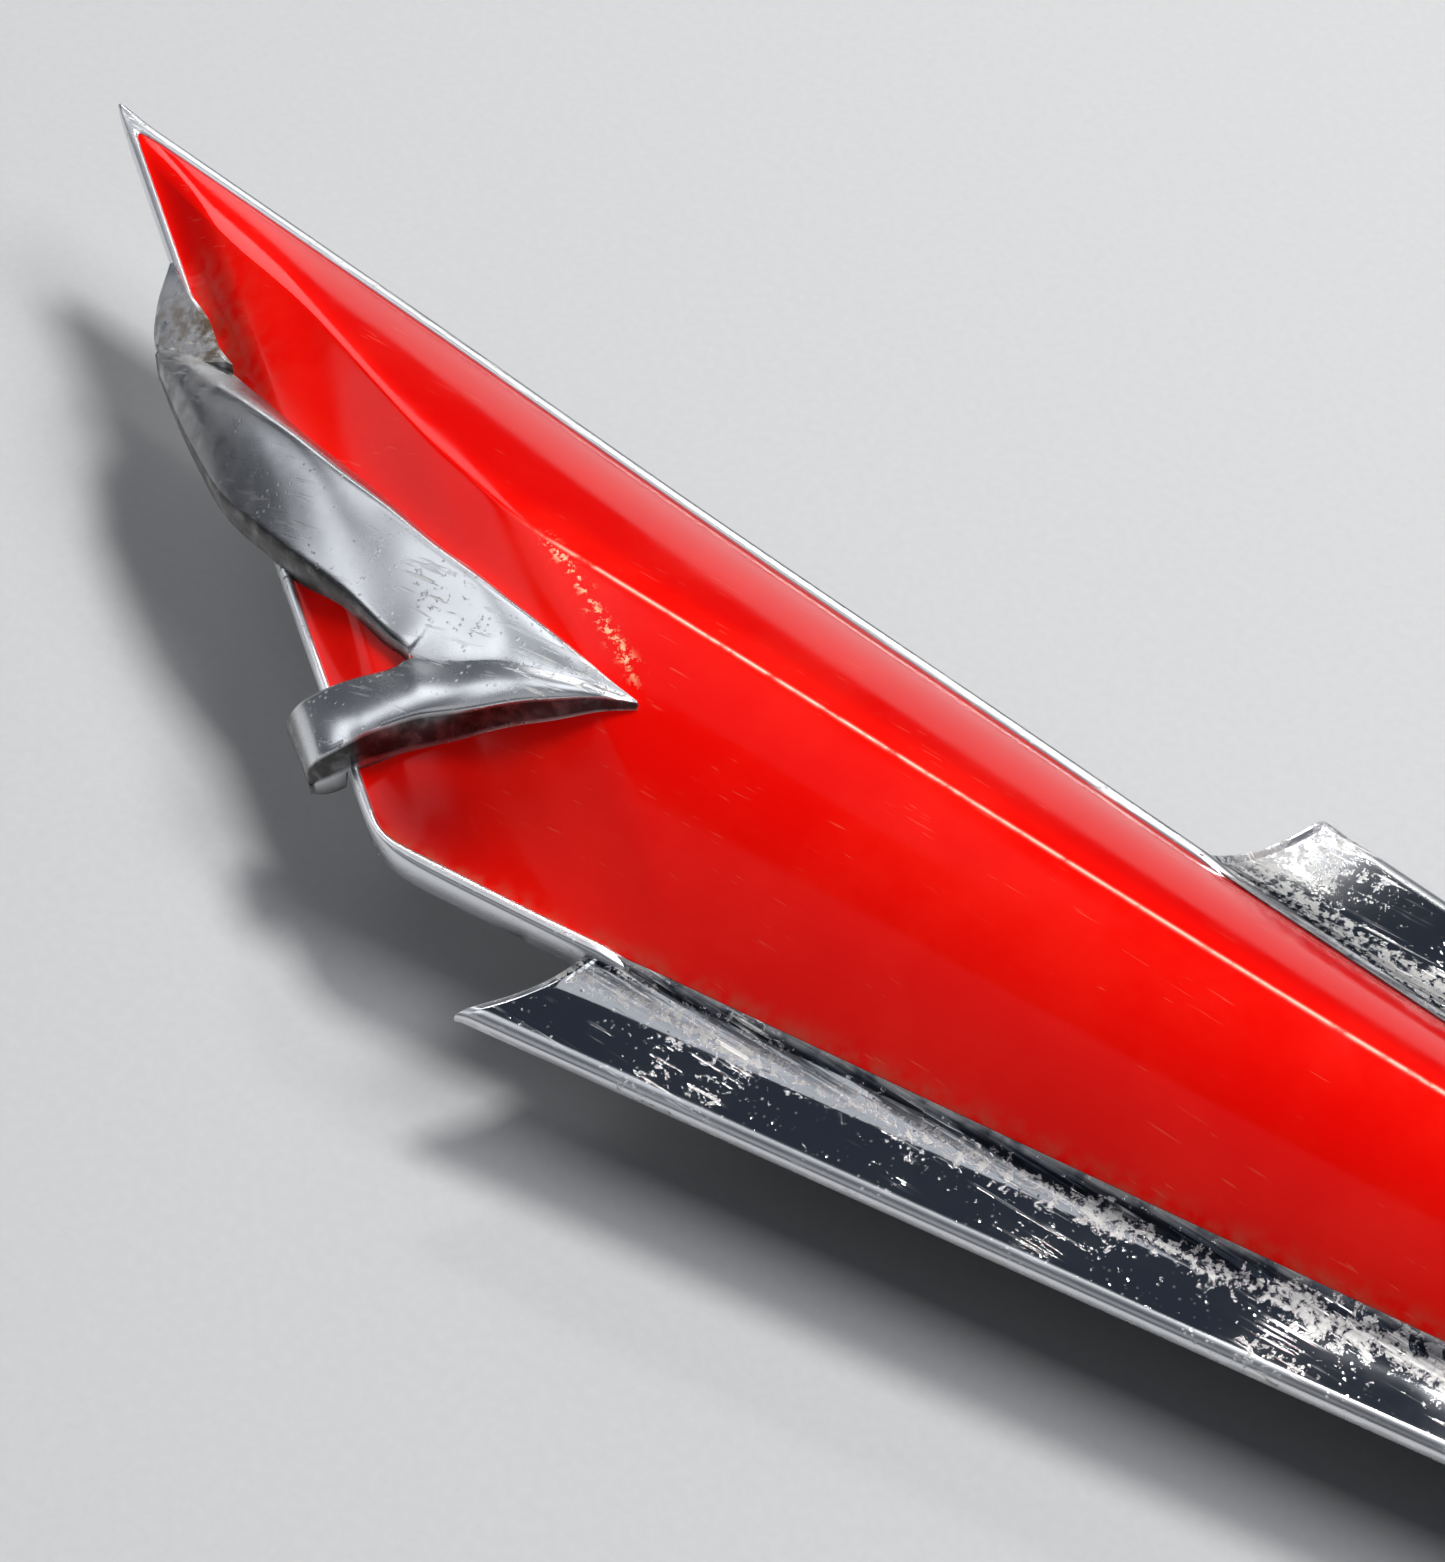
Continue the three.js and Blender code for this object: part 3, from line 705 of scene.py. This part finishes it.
def build_nose():
    keel = flowing([(0, 4.4), (0.2, 8), (0.4, 9.2), (0.7, 8.2), (1, 4.4)])
    us = 1 - (1 - np.linspace(0, 1, 70)) ** 1.5
    lane = np.linspace(-1, 1, 49)
    lane = np.sign(lane) * np.abs(lane) ** 0.9
    u, a = np.meshgrid(us, lane, indexing="ij")
    x = lerp(COLLAR_X, NOSE_X, u)
    side = np.where(a < 0, -flange_edge(NEAR_FLANGE, x), flange_edge(FAR_FLANGE, x))
    y = a * side * 0.99
    ridge = np.sqrt(a ** 2 + 0.0012) - 0.034
    z = lerp(keel(u), FLANGE_EDGE, np.clip(ridge, 0, 1) ** 0.8)
    z = z - 0.5 * smoothstep(0.93, 1.0, np.abs(a))
    top = np.stack([x, y, z], -1)
    bottom = top.copy()
    bottom[..., 2] = BASE
    wear = 0.25 + 0.5 * np.exp(-((np.abs(a) - 0.5) / 0.2) ** 2)
    masks = {"wear": np.concatenate([wear.ravel(), wear.ravel()]),
             "dirt_and_shade": np.zeros(2 * wear.size)}
    return slab("nose", top, bottom, sharp=42, masks=masks)


def build_floor():
    """The closed underside of the tail and the frame under the insert's edges."""
    line = Outline(-0.8)
    us = np.linspace(0, 1, 60)
    vs = np.linspace(0, 1, 14)
    u, v = np.meshgrid(us, vs, indexing="ij")
    near, far = line.near(u * 0.16), line.far(u * 0.42)
    plan = near + (far - near) * v[..., None]
    real_u, real_v = across(plan[..., 0], plan[..., 1])
    low = np.maximum(BASE, rim_height(real_u, real_v) - 3.9)
    top = np.concatenate([plan, (rim_height(real_u, real_v) - 2.33)[..., None]], -1)
    top[..., 2] = np.maximum(top[..., 2], low + 0.4)
    bottom = np.concatenate([plan, low[..., None]], -1)
    masks = {"wear": np.full(2 * low.size, 0.3), "dirt_and_shade": np.full(2 * low.size, 0.3)}
    return slab("tail_floor", top, bottom, masks=masks)


def box_body(name, low, high, round_by=0.4):
    """A bar with rounded top and bottom edges."""
    (x0, y0, z0), (x1, y1, z1) = low, high
    r = round_by
    section = [(x0 + r, z0), (x1 - r, z0), (x1, z0 + r), (x1, z1 - r), (x1 - r, z1),
               (x0 + r, z1), (x0, z1 - r), (x0, z0 + r)]
    rows = [[(x, y, z) for x, z in section] for y in np.linspace(y0, y1, 12)]
    return swept(name, rows, masks={"wear": np.full(96, 0.3), "dirt_and_shade": np.full(96, 0.4)})


def build_bridges():
    """Bars across the opening, with the bosses that hold the studs."""
    parts = []
    for node in ("stud_rear_near", "stud_rear_far", "stud_front"):
        (x, y), _, _, _ = node_place(node)
        angles = np.linspace(0, 2 * np.pi, 40, endpoint=False)
        rows = [[(x + r * math.cos(a), y + r * math.sin(a), z) for a in angles]
                for r, z in ((4.6, 1.35), (5.0, 1.7), (5.0, 4.9), (4.6, 5.3))]
        masks = {"wear": np.full(160, 0.3), "dirt_and_shade": np.full(160, 0.4)}
        parts.append(swept("boss", rows, masks=masks))
    for x in (134.0, 185.0, 226.0, 245.0):
        near = NEAR_SIDE[0] + NEAR_SIDE[1] * x + 2.4
        far = FAR_SIDE[0] + FAR_SIDE[1] * x - 2.4
        parts.append(box_body("bridge", (x - 4.5, near, 2.0), (x + 4.5, far, 3.6)))
    return parts


def build_casting():
    parts = build_bridges() + [
        build_rim(),
        build_flange("near_flange", NEAR_FLANGE, EDGE.sides[0], -1, 0.0),
        build_flange("far_flange", FAR_FLANGE, EDGE.sides[1], 1, 1.0),
        build_nose(),
        build_floor(),
    ]
    piece = join("chrome_casting", parts)
    dress(piece, CHROME, "chrome", "casting")


# ---------------------------------------------------------------- delta trim
# Stations from the tip to the end of each arm: plan points and the two lifts over the insert.
# Upper half: foot, crest, middle line or inner edge. Lower half: middle or inner, crest, foot.
UPPER_ARM = [
    ((110.9, -5.8), (110.8, -5.9), (110.8, -6.0), 0.7, 0.8),
    ((105.0, -4.7), (105.4, -5.5), (104.6, -7.2), 1.3, 1.9),
    ((94.6, -2.5), (94.8, -3.5), (95.2, -8.5), 1.7, 2.8),
    ((88.2, -1.0), (88.2, -2.2), (86.0, -10.7), 2.0, 2.5),
    ((85.8, -0.4), (85.6, -1.7), (85.2, -10.0), 2.1, 2.1),
    ((81.0, 0.7), (80.6, -0.6), (81.0, -9.0), 2.4, 2.0),
    ((73.5, 3.0), (73.0, 1.3), (74.0, -7.2), 2.7, 2.0),
    ((65.0, 5.2), (64.2, 3.0), (66.5, -5.7), 3.0, 2.0),
    ((56.5, 7.2), (55.5, 5.1), (59.5, -3.9), 3.0, 2.0),
    ((48.0, 9.7), (47.2, 6.9), (52.5, -1.7), 3.0, 2.0),
    ((41.0, 11.8), (40.3, 8.0), (45.5, 2.0), 3.0, 2.0),
    ((35.5, 12.9), (35.0, 9.6), (38.8, 6.0), 2.8, 2.0),
    ((30.5, 12.9), (30.9, 11.4), (32.0, 10.4), 2.4, 2.0),
]
LOWER_ARM = [
    ((110.8, -6.0), (110.9, -6.1), (111.0, -6.2), 0.8, 0.8),
    ((104.6, -7.2), (105.9, -8.9), (104.8, -9.3), 2.8, 1.9),
    ((95.2, -8.5), (98.9, -12.0), (97.2, -12.5), 4.0, 2.8),
    ((86.0, -10.7), (92.4, -15.2), (91.4, -16.7), 4.2, 2.5),
    ((85.2, -11.5), (90.9, -16.4), (90.0, -17.9), 4.2, 2.1),
    ((82.6, -13.3), (88.4, -18.9), (87.8, -19.9), 4.1, 2.0),
    ((79.8, -15.6), (86.3, -21.3), (86.0, -21.9), 3.8, 2.0),
    ((77.9, -17.4), (84.4, -22.6), (84.6, -22.9), 3.2, 2.0),
    ((76.1, -18.8), (82.6, -23.0), (83.3, -23.4), 2.2, 1.8),
]
NOTCH_STATION = 3
NOTCH = (86.0, -10.7)
UPPER_END_ROUND = 0.7
LOWER_END_ROUND = 1.8
HOOK = 9.0


def spacing(points):
    """Knots a little further apart where points are."""
    steps = np.linalg.norm(np.diff(np.array(points, float), axis=0), axis=1)
    return np.concatenate([[0], np.cumsum(np.sqrt(steps))])


def spline(values, per_span, knots=None):
    """A smooth curve through stations, with rows closer together near the last one."""
    p = np.array(values, float)
    p = p[:, None] if p.ndim == 1 else p
    t = spacing(p) if knots is None else knots
    chord = np.diff(p, axis=0) / np.diff(t)[:, None]
    inner = (chord[:-1] * np.diff(t)[1:, None] + chord[1:] * np.diff(t)[:-1, None])
    slope = np.concatenate([chord[:1], inner / (t[2:] - t[:-2])[:, None], chord[-1:]])
    out = []
    for i in range(len(p) - 1):
        steps = np.linspace(0, 1, per_span, endpoint=False)
        if i == len(p) - 2:
            steps = 1 - (1 - np.linspace(0, 1, 2 * per_span)) ** 2.2
        h = t[i + 1] - t[i]
        for k in steps:
            out.append((1 + 2 * k) * (1 - k) ** 2 * p[i] + k * (1 - k) ** 2 * h * slope[i]
                       + k * k * (3 - 2 * k) * p[i + 1] + k * k * (k - 1) * h * slope[i + 1])
    return np.array(out)


def trim_base(plan):
    """Height of the insert under the trim, rolled down past the tail."""
    x, y = plan[..., 0], plan[..., 1]
    outside = np.maximum(past_tail(x, y) + TAIL_RIM, 0)
    edge_x, edge_y = x + outside * RAKE_IN[0], y + outside * RAKE_IN[1]
    ease = 2.5 * (1 - np.exp(-outside / 2.5))
    edge = dome(*across(edge_x, edge_y))
    inside = dome(*across(edge_x + ease * RAKE_IN[0], edge_y + ease * RAKE_IN[1]))
    past = np.clip(past_tail(x, y) + 2.5, 0, HOOK * 0.97)
    return 2 * edge - inside - (HOOK - np.sqrt(HOOK ** 2 - past ** 2))


def arm_grid(stations, per_span, crest_first, middle=None):
    """Top surface of half the delta, as plan points and heights, foot or inner edge first."""
    knots = spacing([np.mean(s[:3], axis=0) for s in stations])
    a, b, c, lift_crest, lift_inner = (
        spline([s[k] for s in stations], per_span, knots) for k in range(5))
    lift_crest, lift_inner = lift_crest[:, 0], lift_inner[:, 0]
    foot, crest, inner = (a, b, c) if crest_first else (c, b, a)
    if middle is not None:
        shared = NOTCH_STATION * per_span + 1
        inner[:shared], lift_inner[:shared] = middle[0][:shared], middle[1][:shared]
    slope = np.linspace(0, 1, 9)
    face = np.concatenate([np.linspace(0, 0.86, 16)[1:], [0.9, 0.93, 0.955, 0.975, 0.99, 1.0]])
    rows = len(a)
    along = np.concatenate([[0], np.cumsum(np.linalg.norm(np.diff(crest, axis=0), axis=1))])
    notch = along[NOTCH_STATION * per_span]
    to_end = (along[-1] - along)[:, None]
    plan = [foot[:, None] + (crest - foot)[:, None] * slope[None, :, None]]
    plan.append(crest[:, None] + (inner - crest)[:, None] * face[None, :, None])
    plan = np.concatenate(plan, 1)
    rise = lift_crest[:, None] * (1 - (1 - slope) ** 1.35)[None, :] + 0.06
    bulge = 1.6 * smoothstep(0, 12, along)
    fall = lerp(lift_crest[:, None], lift_inner[:, None], face[None, :] ** 1.7)
    fall = fall + bulge[:, None] * (face * (1 - face) ** 2)[None, :]
    width = np.linalg.norm(inner - crest, axis=1)[:, None]
    cut = smoothstep(0, 4.5, along - notch)[:, None]
    fall = fall - cut * rounding((1 - face)[None, :] * width, 0.7) + 0.06
    lift = np.concatenate([rise, fall], 1)
    end_round = UPPER_END_ROUND if crest_first else LOWER_END_ROUND
    lift = lift - rounding(to_end, end_round) * np.ones((rows, lift.shape[1]))
    z = trim_base(plan) + np.maximum(lift, 0.06)
    edge = np.concatenate([1 - slope, np.zeros(len(face))])[None, :] * np.ones((rows, 1))
    lip = np.concatenate([np.zeros(len(slope)), smoothstep(0.92, 0.98, face)])[None, :] * cut
    lip = np.maximum(lip, smoothstep(1.0, 0.2, to_end))
    grid = np.concatenate([plan, z[..., None]], 2)
    if not crest_first:
        grid, edge, lip = grid[:, ::-1], edge[:, ::-1], lip[:, ::-1]
    return grid, edge, lip, (inner, lift_inner)


def settle(points, faces, center, reach, rounds):
    """Smooths a surface round a plan point by averaging neighbours."""
    links = np.array([(a, b) for f in faces for a, b in zip(f, f[1:] + f[:1])])
    links = np.concatenate([links, links[:, ::-1]])
    count = np.bincount(links[:, 0], minlength=len(points))[:, None]
    off = np.linalg.norm(points[:, :2] - center, axis=1)
    share = 0.5 * np.exp(-(off / reach) ** 4)[:, None] * (count > 0)
    for _ in range(rounds):
        total = np.zeros_like(points)
        np.add.at(total, links[:, 0], points[links[:, 1]])
        points = points + share * (total / np.maximum(count, 1) - points)
    return points


def build_trim():
    per_span = 12
    shared = NOTCH_STATION * per_span + 1
    upper, _, upper_lip, middle = arm_grid(UPPER_ARM, per_span, True)
    lower, lower_edge, lower_lip, _ = arm_grid(LOWER_ARM, per_span, False, middle)
    index_up = np.arange(upper[..., 0].size).reshape(upper.shape[:2])
    index_low = np.arange(lower[..., 0].size).reshape(lower.shape[:2]) + index_up.size
    index_low[:shared, 0] = index_up[:shared, -1]
    faces = []
    for index in (index_up, index_low):
        for i in range(index.shape[0] - 1):
            for j in range(index.shape[1] - 1):
                faces.append((index[i, j], index[i, j + 1], index[i + 1, j + 1], index[i + 1, j]))
    top = np.concatenate([upper.reshape(-1, 3), lower.reshape(-1, 3)])
    top = settle(top, faces, NOTCH, 3.5, 30)
    x, y, z = top.T
    past = past_tail(x, y)
    thick = lerp(2.1, 0.9, smoothstep(1.5, 5.0, past))
    seat = np.minimum(trim_base(top[:, :2]), crown(*across(x, y))) - 0.04
    under = np.where(past > 0.4, np.minimum(z - thick, z - 0.2), np.minimum(seat, z - 0.08))
    base = np.stack([x, y, under], 1)
    n = len(top)
    used = {}
    for f in faces:
        for a, b in zip(f, f[1:] + f[:1]):
            used[(a, b)] = True
    walls = [(b, a, n + a, n + b) for a, b in used if (b, a) not in used]
    every = faces + [tuple(n + k for k in f)[::-1] for f in faces] + walls
    bevel = np.concatenate([np.zeros(upper.shape[0] * upper.shape[1]), lower_edge.ravel()])
    rear = smoothstep(60, 34, x) * (1 - bevel)
    wear = 0.2 + 0.6 * smoothstep(92, 106, x)
    # Painted shade, with some grime, towards the arms' rear ends.
    dirt_and_shade = np.clip(0.35 * rear, 0, 1)
    lip = np.concatenate([upper_lip.ravel(), lower_lip.ravel()])
    # Painted shade: near-black on the lower bevel, along the inner edges, towards the rear and
    # underneath, standing in for dark reflections.
    low_face = smoothstep(0.03, 0.22, bevel) * (1 - 0.6 * smoothstep(0.9, 1.0, bevel))
    painted_shade = np.clip(low_face + 0.8 * lip + 0.5 * smoothstep(86, 58, x), 0, 0.96)
    body = make_piece("delta", np.concatenate([top, base]), every, sharp=62, masks={
        "wear": np.concatenate([wear, np.full(n, 0.3)]),
        "dirt_and_shade": np.concatenate([dirt_and_shade, np.full(n, 0.3)]),
        "painted_shade": np.concatenate([painted_shade, np.full(n, 0.9)])})
    pins = [build_post(f"trim_nut_{which}", 1.1) for which in ("front", "rear")]
    piece = join("delta_trim_piece", [body, build_tab(), *pins])
    dress(piece, TRIM_CHROME, "chrome", "delta_trim")


def build_tab():
    """The thin tab that runs from the upper arm's end up the tail rim."""
    outer = spline([(24.6, 20.9), (26.0, 17.4), (28.3, 13.9), (30.0, 12.6), (33.0, 11.0)], 10)
    inner = spline([(25.3, 21.2), (30.2, 18.4), (35.3, 15.9), (39.4, 13.2), (42.5, 11.8)], 10)
    lanes = np.linspace(0, 1, 12)
    plan = outer[:, None] + (inner - outer)[:, None] * lanes[None, :, None]
    edge = np.minimum(lanes, 1 - lanes)[None, :] * np.linalg.norm(inner - outer, axis=1)[:, None]
    z = trim_base(plan) + 0.95 - rounding(edge, 0.3)
    top = np.concatenate([plan, z[..., None]], 2)
    bottom = top - np.array([0, 0, 0.5])
    on_insert = past_tail(plan[..., 0], plan[..., 1]) < 0.4
    resting = crown(*across(plan[..., 0], plan[..., 1])) - 0.05
    bottom[..., 2] = np.where(on_insert, np.minimum(bottom[..., 2], resting), bottom[..., 2])
    dirt_and_shade = smoothstep(21.0, 15.5, plan[..., 1]) * (0.6 + 0.4 * lanes[None, :])
    masks = {"wear": np.full(2 * dirt_and_shade.size, 0.8), "dirt_and_shade": np.tile(dirt_and_shade.ravel(), 2)}
    return slab("trim_tab", top, bottom, masks=masks)


# ---------------------------------------------------------------- fixings
BORE = 2.7
NUT_FLAT = 4.0
THREAD_PITCH = 0.8
THREAD_DEPTH = 0.22


def ring_rows(center, profile, sides):
    """Sections of a turned ring, one for each angle."""
    angles = np.linspace(0, 2 * np.pi, sides, endpoint=False)
    rows = [[(center[0] + r * math.cos(a), center[1] + r * math.sin(a), z) for r, z in profile(a)]
            for a in angles]
    return np.array(rows)


def build_stud(which):
    center, low, high, radius = node_place(f"stud_{which}")
    rows = int((high - low) / THREAD_PITCH * 8)
    angles = np.linspace(0, 2 * np.pi, 32, endpoint=False)
    z, a = np.meshgrid(np.linspace(low, high, rows), angles, indexing="ij")
    phase = (z / THREAD_PITCH - a / (2 * np.pi)) % 1.0
    groove = THREAD_DEPTH * (1 - np.abs(2 * phase - 1)) ** 1.2
    chamfer = np.clip(0.55 - (z - low), 0, 1) + np.clip(0.4 - (high - z), 0, 1)
    r = radius - np.maximum(groove, chamfer * 0.9)
    points = np.stack([center[0] + r * np.cos(a), center[1] + r * np.sin(a), z], -1)
    piece = swept(f"threaded_stud_{which}", points, sharp=50)
    dress(piece, STEEL, "steel", f"stud_{which}")


def build_washer(which):
    center, low, high, outer = node_place(f"washer_{which}")

    def profile(_):
        return [(BORE, low), (outer - 0.15, low), (outer, low + 0.15), (outer, high - 0.15),
                (outer - 0.15, high), (2.8, high), (BORE, high - 0.1), (BORE, low + 0.1)]

    piece = swept(f"flat_washer_{which}", ring_rows(center, profile, 64), closed=True)
    dress(piece, STEEL, "steel", f"washer_{which}")


def build_lock_washer(which):
    center, low, high, outer = node_place(f"lock_washer_{which}")
    angles = np.linspace(0.12, 2 * np.pi - 0.12, 60)
    thick = 0.85
    rows = []
    for i, a in enumerate(angles):
        z = lerp(low, high - thick, i / (len(angles) - 1))
        ring = [(2.72, z), (outer, z), (outer, z + thick), (2.72, z + thick)]
        rows.append([(center[0] + r * math.cos(a), center[1] + r * math.sin(a), h)
                     for r, h in ring])
    piece = swept(f"split_washer_{which}", rows)
    dress(piece, STEEL, "steel", f"lock_washer_{which}")


def build_nut(which):
    center, low, high, _ = node_place(f"nut_{which}")

    def profile(a):
        turn = (a % (math.pi / 3)) - math.pi / 6
        corner = NUT_FLAT / math.cos(turn)
        chamfer = 0.12 + 0.8 * (corner - NUT_FLAT)
        shoulder = 0.96 * NUT_FLAT
        return [(BORE, low + 0.3), (3.0, low), (shoulder, low), (corner, low + chamfer),
                (corner, high - chamfer), (shoulder, high), (3.0, high), (BORE, high - 0.3)]

    piece = swept(f"hex_nut_{which}", ring_rows(center, profile, 72), closed=True, sharp=25)
    dress(piece, STEEL, "steel", f"nut_{which}")


def dress_frame_nodes():
    """CAD nodes whose shape is right keep it and take their finish."""
    looks = {"reflector": FOIL, "mounting_pad": RUBBER}
    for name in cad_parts:
        if name.startswith(("push_nut", "trim_nut")):
            looks[name] = STEEL
    for name, material in looks.items():
        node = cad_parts[name]
        node.data.materials.clear()
        node.data.materials.append(material)


# ---------------------------------------------------------------- studio
AZIMUTH = math.radians(-53.5)
ELEVATION = math.radians(48.0)
DISTANCE = 0.330
LENS = 76.06
COOL = (0.95, 0.97, 1.0)
WARM = (1.0, 0.97, 0.90)
WHITE = (1.0, 1.0, 1.0)

# Name, direction from the object, distance and size in metres, power in watts, tint.
SOFTBOXES = [
    ("key", (0.12, 0.42, 0.90), 1.2, (0.32, 0.26), 10.5, WHITE),
    ("glint", (-0.31, 0.68, 0.66), 1.3, (0.20, 0.09), 2.0, WARM),
    ("side", (0.62, 0.15, 0.77), 1.3, (0.55, 0.4), 8, COOL),
    ("canopy", (-0.46, 0.10, 0.88), 1.3, (0.5, 0.85), 0.65, COOL),
    ("tail", (-0.60, 0.02, 0.80), 1.3, (0.55, 0.5), 1.0, COOL),
    ("window", (-0.82, -0.26, 0.51), 1.3, (0.55, 0.36), 0.95, COOL),
    ("rear", (-0.68, 0.60, 0.40), 1.3, (0.45, 0.45), 1.8, WHITE),
    ("fill", (-0.30, -0.76, 0.58), 1.6, (1.3, 0.9), 1.4, WHITE),
]


def build_studio():
    middle = Vector((TAIL_X + 113.5, 4.0, 0)) * MM
    toward = Vector((math.cos(AZIMUTH) * math.cos(ELEVATION),
                     math.sin(AZIMUTH) * math.cos(ELEVATION), math.sin(ELEVATION)))
    data = bpy.data.cameras.new("camera")
    data.lens = LENS
    camera = bpy.data.objects.new("camera", data)
    camera.location = middle + toward * DISTANCE
    camera.rotation_euler = (-toward).to_track_quat("-Z", "Y").to_euler()
    data.clip_start, data.clip_end = 0.01, 20
    bpy.context.scene.collection.objects.link(camera)
    bpy.context.scene.camera = camera

    bpy.ops.mesh.primitive_plane_add(size=6, location=(0, 0, FLOOR_Z))
    ground = bpy.context.object
    ground.name = "studio_floor"
    n = Nodes("pale_floor")
    grain = n.noise(900, 3.0)
    ground.data.materials.append(n.finish(
        n.blend(grain, (0.50, 0.50, 0.50), (0.56, 0.56, 0.56)), 0.85, n.bump(grain, 0.05, 0.3)))

    def softbox(name, direction, distance, size, power, tint):
        light = bpy.data.lights.new(name, "AREA")
        light.shape = "RECTANGLE"
        light.size, light.size_y = size
        light.energy = power
        light.color = tint
        lamp = bpy.data.objects.new(name, light)
        direction = Vector(direction).normalized()
        lamp.location = middle + direction * distance
        lamp.rotation_euler = (-direction).to_track_quat("-Z", "Y").to_euler()
        bpy.context.scene.collection.objects.link(lamp)

    for name, *setting in SOFTBOXES:
        softbox(name, *setting)
    world = bpy.data.worlds.new("world")
    world.use_nodes = True
    world.node_tree.nodes["Background"].inputs[0].default_value = (0.026, 0.032, 0.045, 1)
    world.node_tree.nodes["Background"].inputs[1].default_value = 1.0
    bpy.context.scene.world = world
    bpy.context.scene.view_settings.view_transform = "Standard"


build_insert()
build_casting()
build_trim()
for which in ("rear_near", "rear_far", "front"):
    build_stud(which)
    build_washer(which)
    build_lock_washer(which)
    build_nut(which)
dress_frame_nodes()
build_studio()
